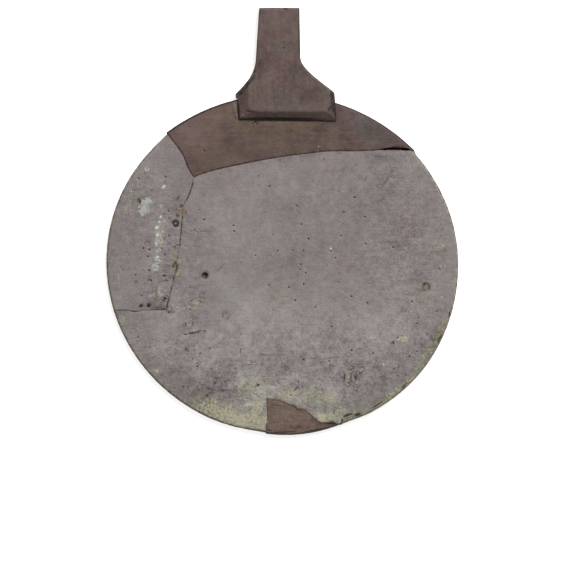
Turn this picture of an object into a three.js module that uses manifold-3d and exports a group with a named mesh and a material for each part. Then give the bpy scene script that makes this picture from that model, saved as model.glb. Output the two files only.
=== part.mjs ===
// A bronze hand mirror, broken and mended, lying on its back with the reflecting face up.
// Sizes are millimetres. +Y runs from the disc towards the tang, and +Z out of the reflecting face.
// The origin is on the underside, at the middle of the oval disc.
import * as THREE from "three";
import { mergeVertices } from "three/addons/utils/BufferGeometryUtils.js";
import Module from "manifold-3d";

const wasm = await Module();
wasm.setup();

const degrees = THREE.MathUtils.degToRad;

// The old disc, an oval a little off true
const discLength = 170;
const discWidth = 164;
const discThickness = 2.8;
const discLean = degrees(-10.7); // turn of the long axis from +X
const rimBevelWidth = 1; // worn bevel round the reflecting face
const rimBevelDrop = 0.7;
const backBevel = 0.4; // both ways, round the underside
const rimSides = 200;
const rimWear = [
  { direction: degrees(140), spread: degrees(9), depth: 0.3 },
  { direction: degrees(260), spread: degrees(8), depth: 0.55 },
  { direction: degrees(293), spread: degrees(5), depth: 0.6 },
  { direction: degrees(322), spread: degrees(16), depth: -0.3 }, // the rim swells here
  { direction: degrees(353), spread: degrees(12), depth: 0.2 },
];
const deepPit = { radius: 1.25, floorRadius: 0.9, depth: 1.5 };
const shallowPit = { radius: 2, floorRadius: 0.9, depth: 0.6 };
const pitMouth = 0.1; // the cutter stands this much clear of the face
const pitSides = 20;

// The new metal of the infills has round rims of its own
const upperInfillRadius = 0.555 * discWidth;
const upperInfillMiddle = onDisc(-0.013, -0.1134);
const lowerInfillRadius = 0.4293 * discWidth;
const lowerInfillMiddle = onDisc(0.018, -0.1463);
const seamGap = 0.3; // glue line between two neighbouring pieces
const openSeamLength = 13; // stretch of the upper seam that gapes
const openSeamWidth = 1.9;

// The handle, a tang that flares to a foot lapping over the disc
const handleShift = -2.1; // the tang's axis at the neck, from the disc's middle, along X
const tangEndWidth = 19.5;
const tangLean = 0.55; // how far the free end stands to the right of the neck
const tangLength = 23.6; // neck to free end
const neckWidth = 21.4;
const flareLength = 17.9; // left shoulder to neck
const shoulderLeft = 20.7; // from the tang's axis
const shoulderRight = 26.6;
const rightShoulderRise = 1.1;
const shoulderClip = new THREE.Vector2(0.6, -1); // the right shoulder's corner is cut off
const rightFlareBends = [new THREE.Vector2(0.62, 0.45), new THREE.Vector2(0.99, 0.71)]; // shoulder to neck
const leftFlareBends = [new THREE.Vector2(0.03, 0.44), new THREE.Vector2(0.32, 0.63)]; // neck to shoulder
const footLeft = 18.6;
const footRight = 28.2;
const footHeight = 11.9; // lower left corner to left shoulder
const footDrop = 1.2; // the foot's lower edge falls this much to the right
const lapDepth = 11.8; // how far the foot reaches in over the disc
const lapThickness = 3.2; // foot above the disc's face
const seatGap = 0.3; // glue line under and behind the foot
const tangEndThickness = 4.4;
const edgeRound = 0.8; // softened edges all round the handle
const leftBevelWidth = 4.1;
const rightBevelWidth = 3.1;
const footBevelWidth = 3.3;
const bevelDrop = 2.1; // how far the bevels fall from the foot's flat top
const flatCornerClip = 2.2; // lower corners of the flat top, both ways
const curveSteps = 12;

const handleTop = discThickness + seatGap + lapThickness;
const neckHeight = footHeight + flareLength;
const handleLength = neckHeight + tangLength;
const cutSize = 2 * (discLength + handleLength); // any cutter reaches past the whole mirror
const throughBottom = -discThickness;
const throughTop = 2 * discThickness;
const farShare = 1.4; // of the disc's half sizes, well outside the rim

// A point given as shares of the disc's half length and half width
function onDisc(acrossShare, upShare) {
  return new THREE.Vector2((acrossShare * discLength) / 2, (upShare * discWidth) / 2);
}

function smooth(points) {
  return new THREE.SplineCurve(points).getPoints(points.length * 4);
}

// Break lines. Their outer ends run past the rim.
const upperCorner = onDisc(-0.505, 0.509);
const lowerCorner = onDisc(-0.658, -0.269);
const wedgeCorner = onDisc(-0.091, -0.79);
const upperLeftBreak = smooth([
  onDisc(-0.695, 0.81),
  onDisc(-0.648, 0.756),
  onDisc(-0.57, 0.648),
  onDisc(-0.536, 0.563),
  upperCorner,
]);
const upperLongBreak = smooth([
  upperCorner,
  onDisc(-0.38, 0.552),
  onDisc(-0.08, 0.616),
  onDisc(0.168, 0.652),
  onDisc(0.272, 0.662),
  onDisc(0.42, 0.662),
  onDisc(0.58, 0.669),
  onDisc(0.73, 0.666),
  onDisc(0.84, 0.655),
]);
const fragmentSideBreak = smooth([
  upperCorner,
  onDisc(-0.511, 0.465),
  onDisc(-0.537, 0.39),
  onDisc(-0.566, 0.335),
  onDisc(-0.57, 0.24),
  onDisc(-0.593, 0.043),
  onDisc(-0.619, -0.094),
  lowerCorner,
]);
const fragmentLowerBreak = smooth([
  lowerCorner,
  onDisc(-0.788, -0.273),
  onDisc(-0.826, -0.28),
  onDisc(-0.903, -0.271),
  onDisc(-1.04, -0.28),
]);
const wedgeSideBreak = smooth([
  onDisc(-0.1, -1.07),
  onDisc(-0.093, -0.96),
  onDisc(-0.085, -0.9),
  wedgeCorner,
]);
const wedgeTopBreak = smooth([
  wedgeCorner,
  onDisc(-0.011, -0.806),
  onDisc(0.084, -0.847),
  onDisc(0.129, -0.863),
  onDisc(0.171, -0.898),
  onDisc(0.22, -0.935),
  onDisc(0.275, -0.927),
  onDisc(0.32, -0.944),
  onDisc(0.4, -0.98),
]);
const openSeamMiddle = onDisc(0.645, 0.674);
const deepPitPlace = onDisc(-0.44, -0.067);
const shallowPitPlace = onDisc(0.817, -0.132);

// Solids and meshes
function solidOf(geometry) {
  const bare = geometry.clone();
  bare.deleteAttribute("normal");
  bare.deleteAttribute("uv");
  const merged = mergeVertices(bare, 1e-4);
  return new wasm.Manifold(
    new wasm.Mesh({
      numProp: 3,
      vertProperties: merged.attributes.position.array,
      triVerts: new Uint32Array(merged.index.array),
    }),
  );
}

function meshOf(name, solid, material) {
  const { numProp, vertProperties, triVerts } = solid.getMesh();
  const indexed = new THREE.BufferGeometry();
  const points = new THREE.InterleavedBuffer(vertProperties, numProp);
  indexed.setAttribute("position", new THREE.InterleavedBufferAttribute(points, 3, 0));
  indexed.setIndex(new THREE.BufferAttribute(triVerts, 1));
  const geometry = indexed.toNonIndexed();
  geometry.computeVertexNormals();
  const mesh = new THREE.Mesh(geometry, material);
  mesh.name = name;
  return mesh;
}

function prism(points, bottom, top) {
  const options = { depth: top - bottom, bevelEnabled: false };
  return solidOf(new THREE.ExtrudeGeometry(new THREE.Shape(points), options).translate(0, 0, bottom));
}

// Everything above the plane through three points
function above(a, b, c) {
  const along = b.clone().sub(a).normalize();
  const up = along.clone().cross(c.clone().sub(a)).normalize();
  up.multiplyScalar(Math.sign(up.z));
  const frame = new THREE.Matrix4().makeBasis(along, up.clone().cross(along), up).setPosition(a);
  const block = new THREE.BoxGeometry(cutSize, cutSize, cutSize).translate(0, 0, cutSize / 2);
  return solidOf(block.applyMatrix4(frame));
}

// A round plate with its bevelled rim, standing on the ground plane
function roundPlate(radius) {
  const profile = [
    new THREE.Vector2(0, 0),
    new THREE.Vector2(radius - backBevel, 0),
    new THREE.Vector2(radius, backBevel),
    new THREE.Vector2(radius, discThickness - rimBevelDrop),
    new THREE.Vector2(radius - rimBevelWidth, discThickness),
    new THREE.Vector2(0, discThickness),
  ];
  return new THREE.LatheGeometry(profile, rimSides).rotateX(Math.PI / 2);
}

// Depth of wear in one direction from the disc's middle
function wearTowards(direction) {
  return rimWear.reduce((sum, wear) => {
    const turn = direction - wear.direction;
    const away = Math.atan2(Math.sin(turn), Math.cos(turn)) / wear.spread;
    return sum + wear.depth * Math.exp(-(away ** 2));
  }, 0);
}

function oldPlate() {
  const radius = discLength / 2;
  const plate = roundPlate(radius)
    .scale(1, discWidth / discLength, 1)
    .rotateZ(discLean);
  const { position } = plate.attributes;
  for (let i = 0; i < position.count; i += 1) {
    const direction = Math.atan2(position.getY(i), position.getX(i));
    const inwards = 1 - wearTowards(direction) / radius;
    position.setXY(i, position.getX(i) * inwards, position.getY(i) * inwards);
  }
  return solidOf(plate);
}

function infillPlate(radius, middle) {
  return solidOf(roundPlate(radius).translate(middle.x, middle.y, 0));
}

function pitAt(place, { radius, floorRadius, depth }) {
  const pit = new THREE.CylinderGeometry(radius, floorRadius, depth + pitMouth, pitSides);
  pit.rotateX(Math.PI / 2);
  return solidOf(pit.translate(place.x, place.y, discThickness + (pitMouth - depth) / 2));
}

// A thin upright slot along a break line
function slot(line) {
  const sideways = line.map((point, i) => {
    const before = line[Math.max(i - 1, 0)];
    const after = line[Math.min(i + 1, line.length - 1)];
    const along = after.clone().sub(before).normalize();
    return new THREE.Vector2(-along.y, along.x).multiplyScalar(seamGap / 2);
  });
  const left = line.map((point, i) => point.clone().add(sideways[i]));
  const right = line.map((point, i) => point.clone().sub(sideways[i]));
  return prism([...left, ...right.reverse()], throughBottom, throughTop);
}

function openSeam() {
  const gap = new THREE.EllipseCurve(
    openSeamMiddle.x,
    openSeamMiddle.y,
    openSeamLength / 2,
    openSeamWidth / 2,
  );
  return prism(gap.getPoints(2 * curveSteps).slice(0, -1), throughBottom, throughTop);
}

function region(points) {
  return prism(points, throughBottom, throughTop);
}

// The handle is drawn from its tang's axis and the height of the foot's lower left corner.
function flare(shape, from, to, bends) {
  const reach = to.clone().sub(from);
  const [near, far] = bends.map((bend) => from.clone().add(bend.clone().multiply(reach)));
  shape.bezierCurveTo(near.x, near.y, far.x, far.y, to.x, to.y);
}

function handleOutline() {
  const leftShoulder = new THREE.Vector2(-shoulderLeft, footHeight);
  const rightShoulder = new THREE.Vector2(shoulderRight, footHeight + rightShoulderRise);
  const leftNeck = new THREE.Vector2(-neckWidth / 2, neckHeight);
  const rightNeck = new THREE.Vector2(neckWidth / 2, neckHeight);
  const outline = new THREE.Shape();
  outline.moveTo(-footLeft, 0);
  outline.lineTo(footRight, -footDrop);
  outline.lineTo(rightShoulder.x + shoulderClip.x, rightShoulder.y + shoulderClip.y);
  outline.lineTo(rightShoulder.x, rightShoulder.y);
  flare(outline, rightShoulder, rightNeck, rightFlareBends);
  outline.lineTo(tangLean + tangEndWidth / 2, handleLength);
  outline.lineTo(tangLean - tangEndWidth / 2, handleLength);
  outline.lineTo(leftNeck.x, leftNeck.y);
  flare(outline, leftNeck, leftShoulder, leftFlareBends);
  return outline;
}

// Height of the handle's face, which falls evenly from the foot to the free end
function handleFace(y) {
  const share = (y + footDrop) / (handleLength + footDrop);
  return THREE.MathUtils.lerp(handleTop, tangEndThickness, share);
}

function taperedBlank() {
  const blank = new THREE.ExtrudeGeometry(handleOutline(), {
    depth: handleTop - 2 * edgeRound,
    bevelThickness: edgeRound,
    bevelSize: edgeRound,
    bevelOffset: -edgeRound,
    bevelSegments: 2,
    curveSegments: curveSteps,
  }).translate(0, 0, edgeRound);
  const { position } = blank.attributes;
  for (let i = 0; i < position.count; i += 1) {
    position.setZ(i, (position.getZ(i) * handleFace(position.getY(i))) / handleTop);
  }
  return solidOf(blank);
}

// The foot's flat top, from its upper left corner round its lower edge to the upper right one
function flatTopCorners() {
  const left = leftBevelWidth - footLeft;
  const right = footRight - rightBevelWidth;
  const low = footBevelWidth;
  return [
    [left, footHeight],
    [left, low + flatCornerClip],
    [left + flatCornerClip, low],
    [right - flatCornerClip, low],
    [right, low + flatCornerClip],
    [right, footHeight],
  ].map(([x, y]) => new THREE.Vector3(x, y, handleFace(y)));
}

// The corner bevels run out at the foot's own corners.
function bevelCutters() {
  const widths = [
    leftBevelWidth,
    (leftBevelWidth + footBevelWidth + flatCornerClip) / Math.SQRT2,
    footBevelWidth,
    (rightBevelWidth + footBevelWidth + flatCornerClip) / Math.SQRT2,
    rightBevelWidth,
  ];
  const corners = flatTopCorners();
  return widths.map((width, i) => {
    const along = corners[i + 1].clone().sub(corners[i]).normalize();
    const outer = corners[i].clone().add(new THREE.Vector3(along.y, -along.x, 0).multiplyScalar(width));
    return above(corners[i], corners[i + 1], outer.setZ(outer.z - bevelDrop));
  });
}

// Room under the foot for the upper infill's rim
function seat() {
  const { x, y } = upperInfillMiddle;
  const rim = new THREE.EllipseCurve(x, y, upperInfillRadius + seatGap, upperInfillRadius + seatGap);
  return prism(rim.getPoints(rimSides).slice(0, -1), throughBottom, discThickness + seatGap);
}

function handleSolid() {
  const { x, y } = upperInfillMiddle;
  const rimHeight = y + Math.sqrt(upperInfillRadius ** 2 - (handleShift - x) ** 2);
  const shaped = bevelCutters().reduce((rest, cutter) => rest.subtract(cutter), taperedBlank());
  return shaped.translate([handleShift, rimHeight - lapDepth, 0]).subtract(seat());
}

const oldBronze = new THREE.MeshStandardMaterial({ color: 0x877f7d, roughness: 0.6, metalness: 0.4 });
const infillBronze = new THREE.MeshStandardMaterial({ color: 0x63554e, roughness: 0.65, metalness: 0.3 });
const handleBronze = new THREE.MeshStandardMaterial({ color: 0x655953, roughness: 0.6, metalness: 0.3 });

const farRight = onDisc(farShare, 0).x;
const farTop = onDisc(0, farShare).y;
const upperRegion = region([
  ...upperLeftBreak,
  ...upperLongBreak.slice(1),
  new THREE.Vector2(farRight, farTop),
  new THREE.Vector2(-farRight, farTop),
]);
const fragmentRegion = region([
  ...upperLeftBreak,
  ...fragmentSideBreak.slice(1),
  ...fragmentLowerBreak.slice(1),
  new THREE.Vector2(-farRight, fragmentLowerBreak.at(-1).y),
  new THREE.Vector2(-farRight, upperLeftBreak[0].y),
]);
const wedgeRegion = region([
  ...wedgeSideBreak,
  ...wedgeTopBreak.slice(1),
  new THREE.Vector2(wedgeTopBreak.at(-1).x, -farTop),
  new THREE.Vector2(wedgeSideBreak[0].x, -farTop),
]);
const slots = [
  upperLeftBreak,
  upperLongBreak,
  fragmentSideBreak,
  fragmentLowerBreak,
  wedgeSideBreak,
  wedgeTopBreak,
].map(slot);

function withoutSlots(solid) {
  return slots.reduce((rest, cutter) => rest.subtract(cutter), solid);
}

const plate = oldPlate();
const mainPiece = plate
  .subtract(upperRegion)
  .subtract(fragmentRegion)
  .subtract(wedgeRegion)
  .subtract(pitAt(deepPitPlace, deepPit))
  .subtract(pitAt(shallowPitPlace, shallowPit));
const fragment = plate.intersect(fragmentRegion);
const upperInfill = infillPlate(upperInfillRadius, upperInfillMiddle).intersect(upperRegion);
const lowerInfill = infillPlate(lowerInfillRadius, lowerInfillMiddle).intersect(wedgeRegion);

const mirror = new THREE.Group();
mirror.add(
  meshOf("mirror_disc", withoutSlots(mainPiece), oldBronze),
  meshOf("left_fragment", withoutSlots(fragment), oldBronze),
  meshOf("upper_infill", withoutSlots(upperInfill).subtract(openSeam()), infillBronze),
  meshOf("lower_infill", withoutSlots(lowerInfill), infillBronze),
  meshOf("tang_handle", handleSolid(), handleBronze),
);

export default mirror;
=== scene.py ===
import math
import random

import bmesh
import bpy
from mathutils import Matrix, Vector, kdtree, noise
from mathutils.bvhtree import BVHTree


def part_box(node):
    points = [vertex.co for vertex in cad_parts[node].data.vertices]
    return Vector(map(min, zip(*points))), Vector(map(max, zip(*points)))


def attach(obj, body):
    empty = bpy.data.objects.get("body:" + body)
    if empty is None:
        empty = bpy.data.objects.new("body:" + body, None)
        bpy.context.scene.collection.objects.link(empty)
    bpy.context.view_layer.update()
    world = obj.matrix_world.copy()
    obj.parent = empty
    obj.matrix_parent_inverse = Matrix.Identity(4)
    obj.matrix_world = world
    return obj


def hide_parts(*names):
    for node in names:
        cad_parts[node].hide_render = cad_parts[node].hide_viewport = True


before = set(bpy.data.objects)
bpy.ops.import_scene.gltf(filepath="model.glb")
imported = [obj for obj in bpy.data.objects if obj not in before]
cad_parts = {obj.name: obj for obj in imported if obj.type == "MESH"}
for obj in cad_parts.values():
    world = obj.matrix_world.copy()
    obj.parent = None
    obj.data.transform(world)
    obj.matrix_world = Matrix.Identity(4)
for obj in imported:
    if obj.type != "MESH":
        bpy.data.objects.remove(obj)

# An old bronze hand mirror, broken and mended, lying face up. +Y runs towards its tang.
# Lengths in the dictionaries are millimetres, directions are degrees, colours are 0 to 255.
mm = 0.001
scene = bpy.context.scene
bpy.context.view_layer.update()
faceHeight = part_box("mirror_disc")[1].z / mm
print("frame loaded with", len(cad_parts), "pieces")


def added(name, data):
    thing = bpy.data.objects.new(name, data)
    scene.collection.objects.link(thing)
    return thing


def objectFrom(bm, name):
    mesh = bpy.data.meshes.new(name)
    bm.to_mesh(mesh)
    bm.free()
    return added(name, mesh)


# Camera, light and floor
studio = {
    "seenWidth": 274.4,            # what the picture takes in, across the mirror's face
    "seenMiddle": (1.2, -10.1),
    "cameraHeight": 1500,
    "sensorWidth": 36,
    "seenDepth": 10000,
    "lightFrom": (0.34, 0.66, 0.67),
    "lightDistance": 1500,
    "lightSize": 420,
    "lightPower": 25.5,
    "skyStrength": 0.22,
    "floorSize": 4000,
    "floorDrop": 0.02,             # below the mirror's underside
    "floorShade": 0.86,
    "floorRoughness": 0.9,
    "floorGlow": 0.74,
}


def placeCamera():
    data = bpy.data.cameras.new("camera")
    data.sensor_width = studio["sensorWidth"]
    data.lens = data.sensor_width * studio["cameraHeight"] / studio["seenWidth"]
    data.clip_end = studio["seenDepth"] * mm
    camera = added("camera", data)
    across, up = studio["seenMiddle"]
    camera.location = Vector((across, up, faceHeight + studio["cameraHeight"])) * mm
    scene.camera = camera


def placeLight():
    data = bpy.data.lights.new("softbox", "AREA")
    data.shape = "SQUARE"
    data.size = studio["lightSize"] * mm
    data.energy = studio["lightPower"]
    light = added("softbox", data)
    towards = Vector(studio["lightFrom"]).normalized()
    light.location = towards * studio["lightDistance"] * mm
    light.rotation_euler = towards.to_track_quat("Z", "Y").to_euler()
    world = bpy.data.worlds.new("studio")
    world.use_nodes = True
    sky = world.node_tree.nodes["Background"]
    sky.inputs["Color"].default_value = (1, 1, 1, 1)
    sky.inputs["Strength"].default_value = studio["skyStrength"]
    scene.world = world
    scene.view_settings.view_transform = "Standard"


def placeFloor():
    bm = bmesh.new()
    bmesh.ops.create_grid(bm, x_segments=1, y_segments=1, size=studio["floorSize"] / 2 * mm)
    bmesh.ops.translate(bm, verts=bm.verts, vec=(0, 0, -studio["floorDrop"] * mm))
    floor = objectFrom(bm, "floor")
    paper = bpy.data.materials.new("white paper")
    paper.use_nodes = True
    shader = paper.node_tree.nodes["Principled BSDF"]
    shade = studio["floorShade"]
    shader.inputs["Base Color"].default_value = (shade, shade, shade, 1)
    shader.inputs["Roughness"].default_value = studio["floorRoughness"]
    shader.inputs["Emission Color"].default_value = (1, 1, 1, 1)
    shader.inputs["Emission Strength"].default_value = studio["floorGlow"]
    floor.data.materials.append(paper)


placeCamera()
placeLight()
placeFloor()
print("studio ready")

# How every plate is cut into faces
plates = {
    "mergeReach": 0.0005,          # corners of the solid this near each other are one
    "netMargin": 2,                # how far the net's block reaches past the plate
    "skin": 0.02,                  # between the net's two levels and the plate's two sides
    "undersideSkin": 0.05,         # a point lower than this is on the underside
    "faceSkin": 0.05,              # a point this near the face's height is on the face
    "wallSkin": 0.03,              # a point further below the face than this is on a wall
    "plainLength": 4,              # edges where nothing asks for shorter ones
    "seamLength": 0.24,
    "seamReach": 0.75,
    "besideSeamLength": 0.4,
    "besideSeamReach": 1.2,
    "smallMark": 1.6,              # half width under which a mark asks for shorter edges
    "markReach": 1.5,              # in half widths of the mark
    "markShare": 0.4,              # edge length in half widths of the mark
    "shortest": 0.2,
    "tooLong": 1.45,               # an edge is halved past this many wanted lengths
    "sharpEdge": 40,
}


def smoothStep(low, high, value):
    share = min(max((value - low) / (high - low), 0), 1)
    return share * share * (3 - 2 * share)


def mergedCopy(node):
    bm = bmesh.new()
    bm.from_mesh(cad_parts[node].data)
    bmesh.ops.remove_doubles(bm, verts=bm.verts, dist=plates["mergeReach"] * mm)
    return bm


def applyModifiers(piece):
    depsgraph = bpy.context.evaluated_depsgraph_get()
    mesh = bpy.data.meshes.new_from_object(piece.evaluated_get(depsgraph))
    before = piece.data
    piece.modifiers.clear()
    piece.data = mesh
    bpy.data.meshes.remove(before)


# A block with a fine net of faces on top and a wider one below
def netBlock(node, net):
    low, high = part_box(node)
    margin = Vector((plates["netMargin"], plates["netMargin"], 0)) * mm
    low, high = low - margin, high + margin
    size, middle = high - low, (low + high) / 2
    bm = bmesh.new()
    for height, spacing in ((faceHeight - plates["skin"], net["face"]), (plates["skin"], net["back"])):
        place = Matrix.Translation((middle.x, middle.y, height * mm))
        bmesh.ops.create_grid(
            bm,
            x_segments=math.ceil(size.x / spacing / mm),
            y_segments=math.ceil(size.y / spacing / mm),
            size=0.5,
            matrix=place @ Matrix.Diagonal((size.x, size.y, 1, 1)),
        )
    bmesh.ops.bridge_loops(bm, edges=[edge for edge in bm.edges if edge.is_boundary])
    bmesh.ops.recalc_face_normals(bm, faces=bm.faces)
    return objectFrom(bm, node + "_net")


# The node's own solid, with the net of the block on its two sides
def nettedPlate(node, name, net):
    piece = objectFrom(mergedCopy(node), name)
    block = netBlock(node, net)
    cut = piece.modifiers.new("net", "BOOLEAN")
    cut.operation = "INTERSECT"
    cut.solver = "EXACT"
    cut.object = block
    applyModifiers(piece)
    bpy.data.objects.remove(block)
    return piece


# Halve edges until each is about as short as wanted where it lies
def refine(bm, wanted, rounds):
    for _ in range(rounds):
        bmesh.ops.triangulate(bm, faces=[face for face in bm.faces if len(face.verts) > 4])
        tooLong = []
        for edge in bm.edges:
            start, end = edge.verts
            if edge.calc_length() > plates["tooLong"] * mm * wanted((start.co + end.co) / 2 / mm):
                tooLong.append(edge)
        if tooLong:
            bmesh.ops.subdivide_edges(bm, edges=tooLong, cuts=1, use_grid_fill=True)
    bmesh.ops.triangulate(bm, faces=[face for face in bm.faces if len(face.verts) > 4])


# What a kind of mark does to the colour layers and how far it lifts the surface
marks = {
    "pit": {"layers": {"dark": 1}, "lift": -0.4, "edge": 0.55, "ragged": 0.15},
    "speck": {"layers": {"dark": 0.55}, "lift": -0.12, "edge": 0.8, "ragged": 0.3},
    "dot": {"layers": {"dark": 0.95}, "lift": -0.15, "edge": 0.6, "ragged": 0.25},
    "smudge": {"layers": {"dark": 0.4}, "lift": -0.05, "edge": 0.9, "ragged": 0.5},
    "crackLine": {"layers": {"dark": 0.7}, "lift": -0.25, "edge": 0.8, "ragged": 0.4},
    "blotch": {"layers": {"dark": 0.24}, "lift": -0.02, "edge": 1, "ragged": 0.9},
    "stain": {"layers": {"dark": 0.7}, "lift": -0.03, "edge": 0.9, "ragged": 0.6},
    # darkLine draws dark lines, and on the handle also painted shadow along the slab's foot
    "darkLine": {"layers": {"dark": 0.95}, "lift": -0.02, "edge": 0.6, "ragged": 0.25},
    "bead": {"layers": {"pale": 0.3}, "lift": 0.3, "edge": 0.9, "ragged": 0.25},
    "wash": {"layers": {"pale": 0.5}, "lift": 0.02, "edge": 1, "ragged": 0.8},
    "bleach": {"layers": {"pale": 0.3}, "lift": 0.02, "edge": 1, "ragged": 0.9},
    "verdigris": {"layers": {"olive": 1}, "lift": 0.06, "edge": 0.8, "ragged": 0.6},
    "faintHaze": {"layers": {"olive": 0.22}, "lift": 0, "edge": 1, "ragged": 0.5},
    "filler": {"layers": {"olive": 0.5, "rust": 0.42}, "lift": -0.05, "edge": 0.6, "ragged": 0.5},
    "greenHaze": {"layers": {"olive": 0.52}, "lift": 0.01, "edge": 1, "ragged": 0.5},
    "crust": {"layers": {"olive": 1.05}, "lift": 0.04, "edge": 0.9, "ragged": 0.6},
    "celadon": {"layers": {"pale": 0.72}, "lift": 0.05, "edge": 0.6, "ragged": 0.5},
    "white": {"layers": {"pale": 1.15}, "lift": 0.1, "edge": 0.8, "ragged": 0.4},
    "rust": {"layers": {"rust": 1.1}, "lift": -0.06, "edge": 0.6, "ragged": 0.5},
    "ring": {"layers": {"dark": 0.5}, "lift": -0.1, "edge": 0.4, "ragged": 0.6, "hollow": 0.66},
    "blackRing": {"layers": {"dark": 1.1}, "lift": -0.3, "edge": 0.6, "ragged": 0.2, "hollow": 0.58},
    "paleRing": {"layers": {"pale": 0.85}, "lift": 0.1, "edge": 0.5, "ragged": 0.6, "hollow": 0.62},
    "yellowRing": {"layers": {"olive": 0.95}, "lift": 0.05, "edge": 0.4, "ragged": 0.25, "hollow": 0.62},
}
layerNames = ("olive", "pale", "rust", "dark", "tone", "edge", "mottle")


# What all marks have in common
markHabits = {
    "slimmest": 0.5,               # least width of a scattered mark, in its lengths
    "faintest": 0.4,               # least strength of a scattered mark
    "mostTurn": 3,                 # of a scattered mark, in radians
    "raggedness": 1.6,             # waves of its ragged edge in a mark's half width
    "broadest": 4,                 # half width past which the waves get no longer
    "reach": 1.5,                  # where a ragged mark has surely ended, in half lengths
    "fieldReach": 2,
}


# Every mark of a piece: kind, place, half sizes, turn, strength
def spotsOf(values):
    for kind, places in values["marks"].items():
        for place in places:
            x, y, halfLength = place[:3]
            halfWidth = place[3] if len(place) > 3 else halfLength
            turn = math.radians(place[4]) if len(place) > 4 else 0
            yield kind, x, y, halfLength, halfWidth, turn, 1
    chance = random.Random(values["seed"])
    for kind, count, x, y, reachX, reachY, small, large in values["scatter"]:
        for _ in range(count):
            away, direction = math.sqrt(chance.random()), chance.uniform(0, math.tau)
            size = small + (large - small) * chance.random() ** 2
            place = (x + reachX * away * math.cos(direction), y + reachY * away * math.sin(direction))
            halfWidth = size * chance.uniform(markHabits["slimmest"], 1)
            turn = chance.uniform(0, markHabits["mostTurn"])
            yield kind, *place, size, halfWidth, turn, chance.uniform(markHabits["faintest"], 1)


# A search tree of places on the face, in millimetres
def treeOf(places):
    tree = kdtree.KDTree(len(places))
    for i, (x, y) in enumerate(places):
        tree.insert((x, y, 0), i)
    tree.balance()
    return tree


def pointing(turn):
    return Vector((math.cos(turn), math.sin(turn)))


# How far a place is from the middle of an oval, where 1 is on its edge
def ovalShare(place, x, y, halfLength, halfWidth, along):
    off = Vector((place.x - x, place.y - y))
    return math.hypot(off.dot(along) / halfLength, off.cross(along) / halfWidth)


# The colour layers of a piece's points, and how far its marks lift them
def markSurface(verts, values):
    layers = {layer: [0.0] * len(verts) for layer in layerNames}
    lifts = [0.0] * len(verts)
    tree = treeOf([(vert.co.x / mm, vert.co.y / mm) for vert in verts])
    for kind, x, y, halfLength, halfWidth, turn, strong in spotsOf(values):
        mark = marks[kind]
        along = pointing(turn)
        grain = markHabits["raggedness"] / min(halfLength, halfWidth, markHabits["broadest"])
        reach = markHabits["reach"] * max(halfLength, halfWidth)
        for found, i, _ in tree.find_range((x, y, 0), reach):
            away = ovalShare(found, x, y, halfLength, halfWidth, along)
            away += mark["ragged"] * noise.noise(Vector((found.x, found.y, x)) * grain)
            amount = smoothStep(1, 1 - mark["edge"], away) * strong
            if "hollow" in mark:
                amount = max(1 - abs(away - mark["hollow"]) / mark["edge"], 0) * strong
            lifts[i] += mark["lift"] * amount
            for layer, strength in mark["layers"].items():
                layers[layer][i] = max(layers[layer][i], strength * amount)
    for layer, fields in values["fields"].items():
        for x, y, halfLength, halfWidth, turn, strength in fields:
            along = pointing(math.radians(turn))
            reach = markHabits["fieldReach"] * max(halfLength, halfWidth)
            for found, i, _ in tree.find_range((x, y, 0), reach):
                away = ovalShare(found, x, y, halfLength, halfWidth, along)
                layers[layer][i] += strength * math.exp(-away * away)
    return layers, lifts


# How the mended joint between two pieces looks on the face
joints = {
    ("left_fragment", "mirror_disc"): {"drops": (0.14, 0.16), "width": 0.55, "dark": 1.1, "broken": 0.7},
    ("upper_infill", "mirror_disc"): {"drops": (0.4, 0.04), "width": 0.55, "dark": 0.64, "broken": 0.4},
    ("upper_infill", "left_fragment"): {"drops": (0.4, 0.06), "width": 0.6, "dark": 0.7, "broken": 0.3},
    ("lower_infill", "mirror_disc"): {"drops": (0.04, 0.3), "width": 0.55, "dark": 0.8, "broken": 0.4},
}
seam = {
    "solidGap": 0.3,               # between neighbouring solids
    "slack": 0.12,                 # a point is at a joint up to this much past the gap
    "level": 1.3,                  # height that parts the upper walls from the lower ones
    "topGap": 0.08,                # left between two joined pieces above the level
    "lowGap": -0.01,               # and below it, where they meet
    "lowReach": 2.2,               # a lower wall this near its neighbour is drawn to it
    "lowStop": 0.1,                # until it is this near
    "lookReach": 2.4,              # how far a point looks for its joint
    "lineReach": 1.5,              # how far the joint shows on the face
    "wallReach": 1.4,              # walls nearer to a neighbour than this are seam walls
    "rimReach": 1.2,               # the rim's line ends this near a joint
    "wander": ((0.5, 0.6), (0.25, 2)),                     # waves of the line's width
    "breakWaves": 0.14,            # waves in a millimetre of where the line fades
    "breakRange": (-0.05, 0.3),
    "fillRange": (0.5, 1.1),       # where a filled place lets the line begin again
    "leastDrop": 0.4,
    "darkFrom": -0.1,
    "wallDark": 0.8,
    "filled": [(-48.7, 25, 2.6), (-50.6, -1.4, 4.6)],      # where corrosion hides the joint
}


def wallTree(node):
    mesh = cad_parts[node].data
    corners = [vertex.co for vertex in mesh.vertices]
    return BVHTree.FromPolygons(corners, [face.vertices for face in mesh.polygons])


def neighboursOf(node):
    found = []
    for pair, joint in joints.items():
        if node in pair:
            side = pair.index(node)
            found.append((wallTree(pair[1 - side]), {**joint, "drop": joint["drops"][side]}))
    return found


# The nearest neighbour's distance in metres, the place on it, and the look of their joint
def nearestJoint(neighbours, point, reach):
    best = None
    level = Vector((point.x, point.y, faceHeight / 2)) * mm
    for tree, look in neighbours:
        place, _, _, away = tree.find_nearest(level, reach * mm)
        if place is not None and (best is None or away < best[0]):
            best = (away, place, look)
    return best


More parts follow.
